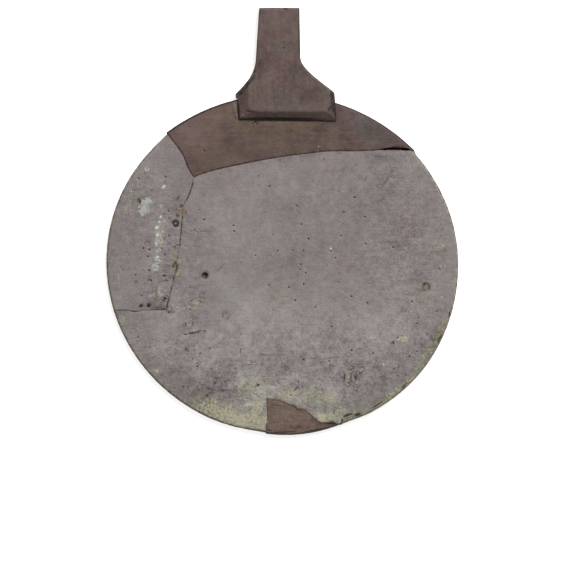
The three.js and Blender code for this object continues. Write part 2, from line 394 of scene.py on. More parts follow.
# The disc's rim, and the crust along it
oval = {"halfLength": 85, "halfWidth": 82, "lean": -10.7}
crustHabits = {
    "waves": (0.25, 0.7),          # in a millimetre, of a band's changing width
    "fadeIn": (-4, 5),             # degrees about a band's start
    "fadeOut": (4, -5),            # and about its end
    "wander": 0.4,                 # how much a band's width changes
    "solid": 0.25,                 # share of its width where a band is at its strongest
    "grain": 1.1,                  # waves in a millimetre of the crust itself
    "lift": 0.09,
    "least": 0.85,
    "swing": 0.5,
    "onWall": 0.7,                 # share of the crust that goes on down the rim
}


def insideRim(x, y):
    lean = math.radians(oval["lean"])
    along = x * math.cos(lean) + y * math.sin(lean)
    across = y * math.cos(lean) - x * math.sin(lean)
    return (1 - math.hypot(along / oval["halfLength"], across / oval["halfWidth"])) * oval["halfWidth"]


def rimCrust(x, y, bands):
    depth = insideRim(x, y)
    direction = math.degrees(math.atan2(y, x)) % 360
    amount = 0
    slow, quick = crustHabits["waves"]
    wander = noise.noise(Vector((x, y, 3)) * slow) + 0.5 * noise.noise(Vector((x, y, 7)) * quick)
    for start, end, width, strength in bands:
        fadeIn = smoothStep(start + crustHabits["fadeIn"][0], start + crustHabits["fadeIn"][1], direction)
        fadeOut = smoothStep(end + crustHabits["fadeOut"][0], end + crustHabits["fadeOut"][1], direction)
        inBand = min(fadeIn, fadeOut)
        if inBand > 0:
            reach = width * (1 + crustHabits["wander"] * wander)
            solid = crustHabits["solid"] * reach
            amount = max(amount, strength * inBand * smoothStep(reach, solid, depth))
    return amount


# Places where the faces must be finer than the net, with the half width of the mark there
def fineSamples(values):
    samples = []
    for _, x, y, halfLength, halfWidth, turn, _ in spotsOf(values):
        short, long = sorted((halfLength, halfWidth))
        if short < plates["smallMark"]:
            direction = turn if halfLength > halfWidth else turn + math.pi / 2
            steps = math.ceil(long / short) - 1
            for step in range(-steps, steps + 1):
                off = (long - short) * step / max(steps, 1)
                samples.append((x + off * math.cos(direction), y + off * math.sin(direction), short))
    return samples


# How long an edge of a plate may be, as a function of where it lies
def edgeRule(values, neighbours):
    samples = fineSamples(values)
    tree = treeOf([(x, y) for x, y, _ in samples])

    def wanted(point):
        length = plates["plainLength"]
        if point.z < plates["undersideSkin"]:
            return length
        onWall = point.z < faceHeight - plates["wallSkin"]
        if onWall:
            length = values["net"]["rim"]
        joint = nearestJoint(neighbours, point, plates["besideSeamReach"])
        if joint:
            atSeam = joint[0] < plates["seamReach"] * mm
            length = min(length, plates["seamLength"] if atSeam else plates["besideSeamLength"])
        if not onWall:
            for _, i, away in tree.find_n((point.x, point.y, 0), 3):
                size = samples[i][2]
                if away < plates["markReach"] * size:
                    length = min(length, max(plates["shortest"], plates["markShare"] * size))
        return length

    return wanted


# Waves are counted in a millimetre, and a pair is a strength and such a count
faceWaves = {"broad": 0.08, "grain": 0.55, "fine": 1.4}          # for each relief of a plate
underside = {"relief": 0.05, "waves": 0.3, "crustWaves": 0.05, "crustRange": (0.05, 0.45)}
walls = {
    "rimDepth": 2.5,               # a wall further inside the oval than this is a pit's
    "wear": ((0.16, 0.35), (0.07, 1.3)),
}


def waved(point, waves, start=0):
    return sum((strength * noise.noise(point * count) for strength, count in waves), start)


def dressUnderside(vert, i, values, layers):
    point = vert.co / mm
    lift = underside["relief"] * abs(noise.noise(point * underside["waves"]))
    vert.co.z += lift * mm
    for layer in layerNames:
        layers[layer][i] = 0
    crust = smoothStep(*underside["crustRange"], noise.noise(point * underside["crustWaves"]))
    layers["olive"][i] = values["backCrust"] * crust


# How deep and how dark the joint is at a point of the face
def jointLine(point, joint):
    away, _, look = joint
    away = away / mm - seam["solidGap"] / 2
    wander = waved(point, seam["wander"], start=1)
    faded = smoothStep(*seam["breakRange"], noise.noise(point * seam["breakWaves"]))
    shown = 1 - look["broken"] * faded
    for x, y, reach in seam["filled"]:
        shown *= smoothStep(*seam["fillRange"], math.hypot(point.x - x, point.y - y) / reach)
    width = look["width"] * wander
    drop = look["drop"] * min(wander, seam["leastDrop"] + shown) * (1 - smoothStep(0, width, away))
    beside = 1 - smoothStep(seam["darkFrom"], width, away)
    darkness = look["dark"] * min(wander, 1) * shown * beside
    return drop, darkness


def dressFace(vert, i, values, layers, lift, joint):
    point = vert.co / mm
    lift = waved(point, [(values["relief"][name], count) for name, count in faceWaves.items()], lift)
    crust = rimCrust(point.x, point.y, values["rimBands"])
    if crust > 0:
        rough = noise.noise(point * crustHabits["grain"])
        lift += crustHabits["lift"] * crust * rough
        crust *= crustHabits["least"] + crustHabits["swing"] * rough
        layers["olive"][i] = max(layers["olive"][i], crust)
    if joint and joint[0] < seam["lineReach"] * mm:
        drop, darkness = jointLine(point, joint)
        lift -= drop
        layers["dark"][i] = max(layers["dark"][i], darkness)
    vert.co.z += lift * mm


# The rim, the seams' walls and the pits of the solids
def dressWall(vert, i, values, layers, joint):
    point = vert.co / mm
    layers["edge"][i] = 1
    crust = rimCrust(point.x, point.y, values["rimBands"])
    layers["olive"][i] = max(layers["olive"][i], crustHabits["onWall"] * crust)
    if joint and joint[0] <= seam["wallReach"] * mm:
        layers["dark"][i] = seam["wallDark"]
    elif insideRim(point.x, point.y) < walls["rimDepth"]:
        inwards = Vector((point.x, point.y, 0)).normalized()
        wear = sum(depth * abs(noise.noise(point * count)) for depth, count in walls["wear"])
        vert.co -= inwards * wear * values["relief"]["rim"] * mm
    else:
        layers["dark"][i] = 1


# Draw a point at a joint towards the neighbour, so that the joint is a fine line
def closeJoint(vert, high, onFace, joint):
    away, place, _ = joint
    inGap = away < (seam["solidGap"] + seam["slack"]) * mm
    lowWall = not high and not onFace and away < seam["lowReach"] * mm
    if inGap:
        step = (away / mm - (seam["topGap"] if high else seam["lowGap"])) / 2
    elif lowWall:
        step = away / mm - seam["lowStop"]
    else:
        return
    if step > 0:
        towards = place - Vector((vert.co.x, vert.co.y, place.z))
        vert.co += towards.normalized() * step * mm


# Store a finished mesh with its colour layers, in the place of its node
def replaceNode(node, piece, bm, layers):
    for face in bm.faces:
        face.smooth = True
    bm.to_mesh(piece.data)
    bm.free()
    for layer, amounts in layers.items():
        attribute = piece.data.attributes.new(layer, "FLOAT", "POINT")
        attribute.data.foreach_set("value", amounts)
    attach(piece, "root")
    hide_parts(node)
    print(piece.name, "made with", len(piece.data.vertices), "points")


def dressPlate(node, name, values):
    piece = nettedPlate(node, name, values["net"])
    neighbours = neighboursOf(node)
    bm = bmesh.new()
    bm.from_mesh(piece.data)
    refine(bm, edgeRule(values, neighbours), 3)
    bm.normal_update()
    verts = list(bm.verts)
    layers, lifts = markSurface(verts, values)
    belowFace = (faceHeight - plates["wallSkin"]) * mm
    besideRim = [any(edge.other_vert(vert).co.z < belowFace for edge in vert.link_edges) for vert in verts]
    for i, vert in enumerate(verts):
        point = vert.co / mm
        onFace = point.z > faceHeight - plates["faceSkin"]
        joint = nearestJoint(neighbours, point, seam["lookReach"])
        if point.z < plates["undersideSkin"]:
            dressUnderside(vert, i, values, layers)
        elif onFace:
            dressFace(vert, i, values, layers, lifts[i], joint)
            if besideRim[i] and (joint is None or joint[0] > seam["rimReach"] * mm):
                layers["edge"][i] = values["rimLine"]
        else:
            dressWall(vert, i, values, layers, joint)
        if joint:
            closeJoint(vert, point.z > seam["level"], onFace, joint)
    for edge in bm.edges:
        edge.smooth = edge.calc_face_angle(0) < math.radians(plates["sharpEdge"])
    replaceNode(node, piece, bm, layers)
    return piece


# The old disc
discValues = {
    "net": {"face": 0.72, "back": 2.2, "rim": 0.6},
    "relief": {"broad": 0.03, "grain": 0.02, "fine": 0.012, "rim": 1},
    "backCrust": 0.8,
    "rimLine": 0.3,
    "seed": 4,
    "rimBands": [                  # first and last direction, width, strength
        (236, 262, 13, 1),
        (258, 272, 12, 1),
        (272, 300, 12, 0.8),
        (300, 322, 4.6, 1),
        (320, 342, 5.4, 1),
        (340, 359, 2.4, 0.6),
        (196, 238, 2.4, 0.7),
        (20, 50, 2, 0.3),
    ],
    "scatter": [                   # kind, how many, middle, reach each way, least and most half length
        ("speck", 260, 0, 0, 82, 78, 0.28, 0.5),
        ("blotch", 70, 0, 0, 80, 78, 0.6, 1.8),
        ("bleach", 50, 0, 0, 80, 78, 0.5, 1.5),
        ("dot", 18, -43, -46, 4, 5.4, 0.3, 0.6),
        ("dot", 9, -15.4, -47.6, 2.4, 1.4, 0.3, 0.55),
        ("stain", 26, -34, -58, 9, 5, 0.6, 1.3),
        ("dot", 9, -41.5, 15.6, 5, 0.8, 0.28, 0.45),
        ("dot", 8, -47, 31, 1.6, 3.4, 0.28, 0.45),
        ("dot", 12, 35, -54, 2.6, 4.4, 0.3, 0.55),
        ("dot", 12, 60, -47, 9, 6, 0.25, 0.4),
        ("dot", 14, 68, -36, 6, 12, 0.28, 0.5),
        ("dot", 30, -14, -62, 22, 12, 0.26, 0.5),
        ("dot", 16, 22, -62, 14, 8, 0.26, 0.45),
        ("dot", 16, 0, -8, 70, 60, 0.24, 0.36),
        ("dot", 10, -60, -46, 6, 9, 0.28, 0.5),
        ("dot", 10, -38, 18, 5, 14, 0.26, 0.4),
        ("dot", 12, 54, 42, 10, 14, 0.26, 0.42),
        ("dot", 9, 36, -61, 2.6, 1.2, 0.3, 0.5),
        ("smudge", 26, -30, -57, 9, 6, 0.8, 2),
        ("speck", 14, -15.6, -48, 3, 1.6, 0.35, 0.7),
        ("smudge", 18, 48, 42, 4, 12, 0.7, 1.7),
        ("smudge", 20, 60, -40, 14, 10, 0.6, 1.5),
        ("speck", 120, -30, -60, 36, 14, 0.3, 0.6),
        ("blotch", 60, -36, -56, 34, 12, 0.8, 2.4),
        ("blotch", 40, 58, -20, 20, 44, 0.8, 2.2),
        ("speck", 70, 62, 20, 14, 30, 0.3, 0.5),
        ("speck", 90, 4, -62, 40, 12, 0.3, 0.6),
        ("bleach", 90, -8, -66, 26, 10, 0.5, 1.5),
        ("blotch", 60, -10, -64, 28, 10, 0.6, 1.6),
        ("bleach", 40, 24, -64, 14, 8, 0.5, 1.3),
        ("blotch", 40, 2, -64, 36, 9, 0.7, 1.8),
        ("ring", 8, -42, -22, 9, 12, 0.7, 1.3),
        ("speck", 170, -14, -68, 20, 11, 0.35, 0.8),
        ("speck", 90, 22, -64, 16, 9, 0.35, 0.7),
        ("speck", 24, 35.5, -55.4, 2.4, 4.4, 0.4, 0.8),
        ("white", 18, 45, -35, 34, 34, 0.25, 0.5),
        ("white", 16, -50, -26, 22, 26, 0.25, 0.5),
        ("smudge", 26, 72, -24, 8, 30, 0.6, 1.4),
        ("crust", 18, 20, -68, 9, 5, 0.5, 1.2),
        ("crust", 12, -12, -63, 9, 5, 0.5, 1.1),
    ],
    "marks": {
        "pit": [                   # x, y, half length, half width, turn
            (34.7, 32.1, 0.6), (29.5, 24.9, 0.5), (7, 28.1, 0.5), (39.6, 22.7, 0.5), (9, 19.1, 0.45),
            (28.1, 13.6, 0.45), (12.5, 12.1, 0.5), (40, 9.7, 0.45), (53.2, 8.1, 0.55), (5.2, 6.5, 0.4),
            (10, 6.4, 0.4), (23.1, 6.2, 0.45), (25.5, 2.9, 0.5), (8.7, -0.2, 0.45), (8.4, -2.6, 0.4),
            (11.1, -4.3, 0.45), (10.1, -9.8, 0.5), (3, -11.2, 0.45), (27, -8.7, 0.4), (6, -17.5, 0.5),
            (15.7, -20.7, 0.45), (33.1, -15.6, 0.5), (40.8, -18.8, 0.5), (62.3, -18.1, 0.5),
            (23.5, -30.2, 0.5), (64.8, -28.7, 0.45), (33.2, -41.6, 0.6), (43.6, -43, 0.5),
            (22.4, -46.8, 0.5), (10.1, -46.1, 0.5), (61, -44.5, 0.5), (-23.7, 18.5, 0.5),
            (-23.4, 15.8, 0.5), (-37.8, 21.3, 0.55, 0.4), (-41.2, -49.4, 0.5), (-13.1, 4.2, 0.4),
            (-2.3, 6.4, 0.45), (-6.5, -10.1, 0.45), (-20.1, -41.2, 0.4), (-69.6, -35.4, 0.4),
            (69.4, -10.8, 1.2, 0.9, 30), (-11.8, -58.4, 0.9, 0.7),
        ],
        "smudge": [
            (-42, 21, 1.1), (-38.4, 15.8, 5, 0.8, 5), (-34.6, 15.4, 2, 0.7), (-56.5, -37.5, 1.2),
            (-44.7, -28.7, 1.2, 1.2, 45), (70.6, -12.4, 1.4), (32.2, -58.8, 1.2, 0.8, -40),
            (35.4, -61.4, 2.2, 0.7), (71.8, -36, 1.8, 2.4), (67.6, -39, 2.8, 1.6, 30),
            (65.2, -33.7, 1.8, 1.1), (52.4, -38, 1.6, 2.2, 30), (49.8, 40, 1.3, 7, -35),
            (53, 45, 1.2, 3.4, -40), (47, 51.6, 6, 0.9, -4), (52.5, 10.4, 6, 1, 4), (40, 41, 1, 3, -30),
            (76.7, 8.3, 1.2), (-26, -56, 3, 1, -20), (24, -45, 6, 1.2, 10), (-8, -44, 8, 1),
            (-35, 49, 2.6, 0.7, 50), (-36.4, -4.4, 2.4), (-30, -2, 5, 0.8, 40), (-48, 26, 1.6, 0.7, 30),
            (-46.6, 8.6, 2, 1, -20), (-43.6, -25, 1.4, 2), (-53, -23, 2.4, 1.4),
            (-37.5, -17, 1.6, 0.8, 60),
        ],
        "crackLine": [
            (-46.9, -34, 1.4, 0.5, 10), (-43.5, -33.5, 2, 0.5, 8), (-40.2, -32.4, 2, 0.5, 18),
            (-37.5, -32.3, 0.9, 0.5, -40), (7.6, -57, 0.6, 1.1, -20), (6.2, -60.4, 0.5, 2.4, -42),
            (4, -63.2, 0.9, 0.7),
        ],
        "verdigris": [
            (-41.9, -19, 2.4, 1.7, 30), (-44.8, -29.7, 1.6, 1.4), (-60, -52.2, 1.5, 1.2, 40),
            (37.8, -51, 1.4, 1.1), (58.6, -36.2, 3.2, 2), (67.9, -44.8, 2.2, 1.6, -20),
            (31.4, -53.6, 0.9, 3), (76.4, -0.9, 1.2, 1.6), (77, 7.6, 0.9, 1.6),
            (-45.6, -30.5, 1.6, 0.8, 30), (69.3, -10.6, 1.2), (74.6, 7.8, 0.8), (-60.1, -52.8, 1.2),
            (-15.8, -47.6, 2.4, 1.2, -10), (26, -72, 7, 2, 25), (-28, -71, 9, 2.6, -18),
            (-50.4, -5.4, 1.2, 2, -20), (76.6, -16, 0.8, 1.4), (-47, -21.4, 1.2, 0.9),
            (56.6, -35.6, 2.6, 1.2, 35), (70.2, -45.6, 2.2, 3, -40),
        ],
        "filler": [
            (-48.8, -1.4, 2.4, 5, -14), (31.2, -54.2, 1, 4), (-46.5, 2, 1.2, 1.6),
            (-41.6, -19.2, 3.4, 2.5, 30), (53.2, -37.6, 1.4, 2.6, -30), (72.7, -38, 0.9, 3, -25),
            (48, -66, 4, 1.5, 35), (62, -54, 3, 1.2, 50),
        ],
        "crust": [
            (-27.4, -71.6, 13, 5, -20), (-14.9, -74.7, 11, 6, -12), (-34, -68, 6, 4, -30),
            (25.2, -73, 6, 4, 20), (19, -73, 4, 3), (-12, -69, 6, 5), (-9, -75.5, 2.6, 4.6),
            (-20, -76.2, 9, 3.4, -14), (20, -74.4, 3, 1.6, -20), (76.8, 8.8, 1.3, 2.2),
            (77, -0.9, 2.2, 1.3), (-60, -52.2, 1.7, 1.3, 40), (-45, -29.7, 1.5),
        ],
        "greenHaze": [
            (-15.4, -60, 12, 9, -8), (-6, -64, 7), (14.9, -64, 15, 10, -12), (14.5, -65, 6),
            (4, -60.5, 9, 4, -12), (24, -66, 8, 7), (-16.5, -67, 5, 3), (2, -63, 7, 5, -15),
            (72, -44, 4, 13, -35), (77, -30, 3, 10, -18), (-27, -69, 12, 4, -22), (-77, -26, 3, 5, 20),
            (-11, -56, 8, 5, 10), (9, -67, 6, 3, -25),
        ],
        "faintHaze": [
            (66, 40, 6, 12, 30), (50, -28, 12, 13), (74, 12, 6, 14), (34, -66, 8, 6, 20), (-46, -20, 7, 4),
            (46, -38, 8, 7), (64, -16, 9), (-22, -50, 12, 6, -20), (8, -54, 16, 5), (0, -14, 20, 12),
            (-38, 8, 6, 10), (-76, -30, 4, 8, 20),
        ],
        "wash": [
            (-16.5, -67.9, 4.6, 2.4, 15), (-5, -59.4, 4.4, 2), (-12, -62, 5, 3, 30), (-20, -57, 4, 2, 20),
        ],
        "ring": [
            (69.2, -10.8, 2.1), (-27.3, -25, 2.3), (-45.3, -20.7, 2), (-38.6, -15.2, 1.8),
            (-42.3, -27.3, 2, 1.4, 60), (-54.6, -22, 1.9),
        ],
        "blackRing": [(-37.3, -5.5, 1.75)],
        "stain": [
            (29.6, -54.6, 0.8, 4), (32.9, -55.4, 0.6, 3.4), (35.2, -54.6, 1.2, 3), (32.8, -50.8, 2, 0.7),
            (28.6, -75.2, 0.9, 0.7), (36.1, -72.6, 2.2, 0.9, 20), (33.9, -73.6, 0.8, 0.6),
            (53.6, -37.6, 1.6, 2, 30), (-49.4, 9.2, 1.3, 0.7, 10), (-48.9, 22.2, 1.6, 0.6, 30),
            (-46.4, 24.6, 0.5, 1.6), (-54.8, -23.4, 1.4, 0.7), (-37.3, -5.5, 0.9), (34.2, -49.6, 0.7, 0.9),
            (37.4, -52.6, 1.3, 0.8, 40), (31.8, -57.2, 1.4, 0.6, -40), (57.6, -34.6, 1, 0.6),
            (-44.6, -21.6, 1, 0.5, -40), (74.2, -43, 0.8, 1.2, -20), (71.6, -48.4, 0.7, 0.9),
            (55.6, -35.4, 1.4, 0.8, 20), (-43, -33.2, 6, 0.9, 8), (-50.8, -2, 1.2, 3.6, -12),
            (76, -36, 1.6, 5, -28), (-35.5, -60.1, 1.8, 1), (-36.3, -63.4, 1.4, 0.8),
            (-32.1, -54.9, 1.6, 1.2), (-29, -60.9, 2.2, 1, 10), (-32.6, -57.4, 1.2),
            (-46.2, -41.3, 1.6, 1), (-39.7, -43.1, 1, 0.8), (-47.8, -59, 1.2, 0.9),
            (-20.4, -42.4, 0.5, 1.8), (-22.6, -50.2, 0.9), (30, -54.4, 0.5, 3.4), (33, -54, 0.4, 3),
            (-46.6, -29, 0.5, 1.4), (-43.2, -29, 0.5, 1.3), (-58.2, -53.4, 1, 0.7), (78.2, 7.4, 0.6, 1.2),
            (75.6, -2.2, 1, 0.6), (67.9, -9.4, 1.4, 0.5, 40), (68, -12.6, 1.2, 0.5, -40),
            (-43.8, -17.6, 1.6, 0.5, 40), (-54.6, -22.8, 1.2, 0.7), (-38, -32.5, 1.6, 1.2),
            (27.5, 53.4, 1.5, 0.4), (-39.4, -18, 2, 0.7, -30), (-43.6, -20, 0.7, 1.6, 30),
            (68.4, -9.8, 1.2, 0.9, 30), (58.6, -58.6, 4, 0.9, 48), (46, -67.6, 8, 0.8, 34),
        ],
        "dot": [
            (53.7, -50.5, 0.5), (55.9, -49.6, 0.4), (55.6, -53.9, 0.5), (59.3, -53.4, 0.5),
            (34.2, -50.4, 0.4), (-46.6, -40.6, 0.5), (-45.2, -42.2, 0.4), (-41, -46.2, 0.4),
        ],
        "white": [
            (42.3, -35.6, 0.7), (48.6, -48.5, 0.7), (-60.6, -51.6, 0.8, 0.6), (77, 8.4, 0.4),
            (78, -1, 0.4), (59, -45.7, 0.45), (68.7, -21.9, 0.4), (61.9, -22.7, 0.45), (47.3, -27.2, 0.4),
            (35.9, -57.3, 0.45), (23.2, 7.4, 0.6, 1.1), (-25.8, 12.4, 0.4),
        ],
        "celadon": [(-16.6, -67.6, 2.6, 1.4, 20), (-5, -59.6, 1.8, 1)],
        "darkLine": [
            (31.2, -72.8, 3.4, 0.8, 22), (36.2, -72.4, 2.2, 1, 22), (80.4, -24, 2.6, 0.5, 76),
            (28.8, -75.4, 0.9, 0.8),
        ],
        "yellowRing": [(-62.6, -47.2, 0.9)],
        "rust": [
            (-48, 25.2, 1.7, 2.1), (31.6, -74.2, 2.2, 0.8, 22), (-49.9, -5.8, 0.6, 2.4, -40),
            (28, -76.8, 2.4, 0.7, 20),
        ],
    },
    "fields": {                    # x, y, half length, half width, turn, strength
        "rust": [(-9.8, -75, 2.4, 4.6, 0, 0.42)],
        "tone": [
            (4, -20, 8, 14, 0, -0.1), (5, 5, 5, 14, 0, -0.08), (-60, -44, 6, 7, -50, -0.08),
            (-14, -28, 30, 20, 0, 0.28), (-30, -44, 24, 10, -15, 0.16), (-60, -34, 13, 12, -50, 0.2),
            (18, -32, 22, 14, 0, 0.14), (48, -34, 12, 10, 0, 0.28), (52, -10, 9, 12, 0, 0.12),
            (-26, 16, 14, 16, 0, 0.1), (-4, 13, 7, 6, 0, 0.1), (34, -50, 16, 8, 10, 0.14),
            (8, -8, 12, 9, 0, -0.08), (10, 25, 10, 6, 0, -0.09), (58, 14, 9, 9, 0, -0.1),
            (48, 33, 8, 9, 0, -0.12), (22, 45, 18, 6, 8, -0.04), (2, -47, 10, 4, 0, -0.12),
            (-44, -59, 16, 6, -28, -0.16), (-12, -66, 9, 7, -30, 0.3), (-16, -56, 8, 5, 0, 0.22),
            (12, -64, 9, 4, -30, 0.08), (34, -56, 3, 5, 10, -0.14), (38, -72, 10, 4, 28, -0.1),
            (74, -37, 5, 11, -28, -0.14), (60, -52, 9, 7, 0, 0.08), (74, 6, 6, 30, 0, 0.06),
            (-20, 34, 20, 8, 10, 0.06), (30, 8, 12, 20, 0, -0.04), (45, 50, 7, 3, 0, -0.2),
            (-22, -14, 13, 6, -38, 0.14), (-16, -34, 5, 9, 5, 0.18), (-29, -55, 9, 5, 30, -0.22),
            (-37, -62, 4, 4, 0, -0.14), (-62, -28, 11, 7, -50, 0.1), (-40, -48, 10, 4, 0, 0.1),
            (2, -50, 9, 4, 0, -0.1), (50, -27, 8, 6, 0, 0.1), (22, -35, 7, 7, 0, -0.1),
            (46, -38, 4, 5, 0, 0.16), (57, -52, 7, 5, 30, -0.16), (75, -38, 4, 6, -28, -0.16),
            (43, -3, 6, 6, 0, -0.12), (62, 26, 4, 7, 0, -0.1), (-51, -21, 4, 5, 0, 0.14),
            (-20, -75, 12, 4, -18, 0.24), (-34, -70, 5, 3, -30, 0.14), (34, -56, 5, 5, 0, -0.16),
            (20, -73, 4, 3, 0, 0.2), (2, -61.5, 6, 3, -10, 0.16), (-9, -76, 4, 3, 0, 0.16),
            (60, 36, 12, 10, 0, -0.06), (74, 16, 5, 12, 0, -0.08), (47, -28, 5, 6, 0, -0.08),
            (46, -47, 8, 6, 0, -0.08), (-14, -54, 7, 5, 0, 0.1), (-10, -62, 6, 6, 0, 0.14),
            (-24, -48, 6, 4, 0, -0.06), (22, -61, 7, 4, 0, 0.2), (0, -61, 5, 4, 0, 0.2),
            (7.5, -65.4, 5, 3, -20, 0.24), (-15, -67, 4, 4, 0, 0.1), (-37, -56, 4, 4, 0, 0.2),
            (-25, -62, 7, 3, -15, -0.12), (8, -55, 5, 4, 0, 0.06), (-30, -66, 5, 3, -20, 0.14),
            (-8, -74, 8, 3, 0, 0.12), (-22, -67, 5, 3, -15, 0.2), (24, -54, 5, 4, 0, 0.14),
            (-11, -51.6, 4, 3, 0, 0.1), (-24, -54, 5, 3, 0, -0.08), (5, -53, 4, 3, 0, -0.12),
            (10, 52.4, 20, 1.6, 8, -0.14), (66, -4, 4, 5, 0, -0.04), (46, 55, 14, 4, 0, -0.08),
            (10, -52, 8, 4, 0, 0.06), (66, -12, 4, 4, 0, -0.1), (18, -75, 5, 2.4, 8, 0.14),
            (-22, -76.5, 6, 3, -16, 0.2), (21.7, -64.5, 4, 3, 0, 0.14), (18, -52.4, 4, 4, 0, 0.12),
            (-40, -57, 4, 6, 0, 0.2), (-30, -61, 5, 3, 0, -0.1), (7.2, -55, 6, 3.4, 0, 0.2),
            (-14.5, -55, 6, 3, 0, 0.14), (14.5, -50, 6, 3, 0, 0.1), (-7.2, -59.7, 5, 3, 0, 0.12),
            (18, -59.7, 4, 3, 0, 0.12), (-10.8, -65, 3, 4, 0, 0.18), (3.6, -64, 3, 2, 0, 0.16),
            (25.3, -65, 4, 4, 0, 0.15), (-25.3, -72, 5, 4, -20, 0.14), (18, -74, 4, 2, 0, 0.16),
            (47, 2, 5, 5, 0, 0.06), (58.5, 21, 4, 4, 0, -0.06), (47, -46, 4, 4, 0, -0.06),
            (64.3, -7.7, 4, 4, 0, -0.08), (70, -27, 4, 4, 0, 0.07), (52.7, 50, 4, 4, 0, -0.06),
            (76, 2, 3, 5, 0, -0.1), (60, -36, 6, 5, 0, 0.13), (5, 27.5, 6, 5, 0, -0.06),
        ],
        "mottle": [
            (-30, -56, 36, 14, -20, 1.3), (20, -58, 36, 16, 12, 1.7), (58, 0, 18, 50, 0, 0.8),
            (-48, -10, 9, 24, 0, 0.9), (0, -36, 60, 12, 0, 1),
        ],
    },
}
disc = dressPlate("mirror_disc", "old_disc", discValues)

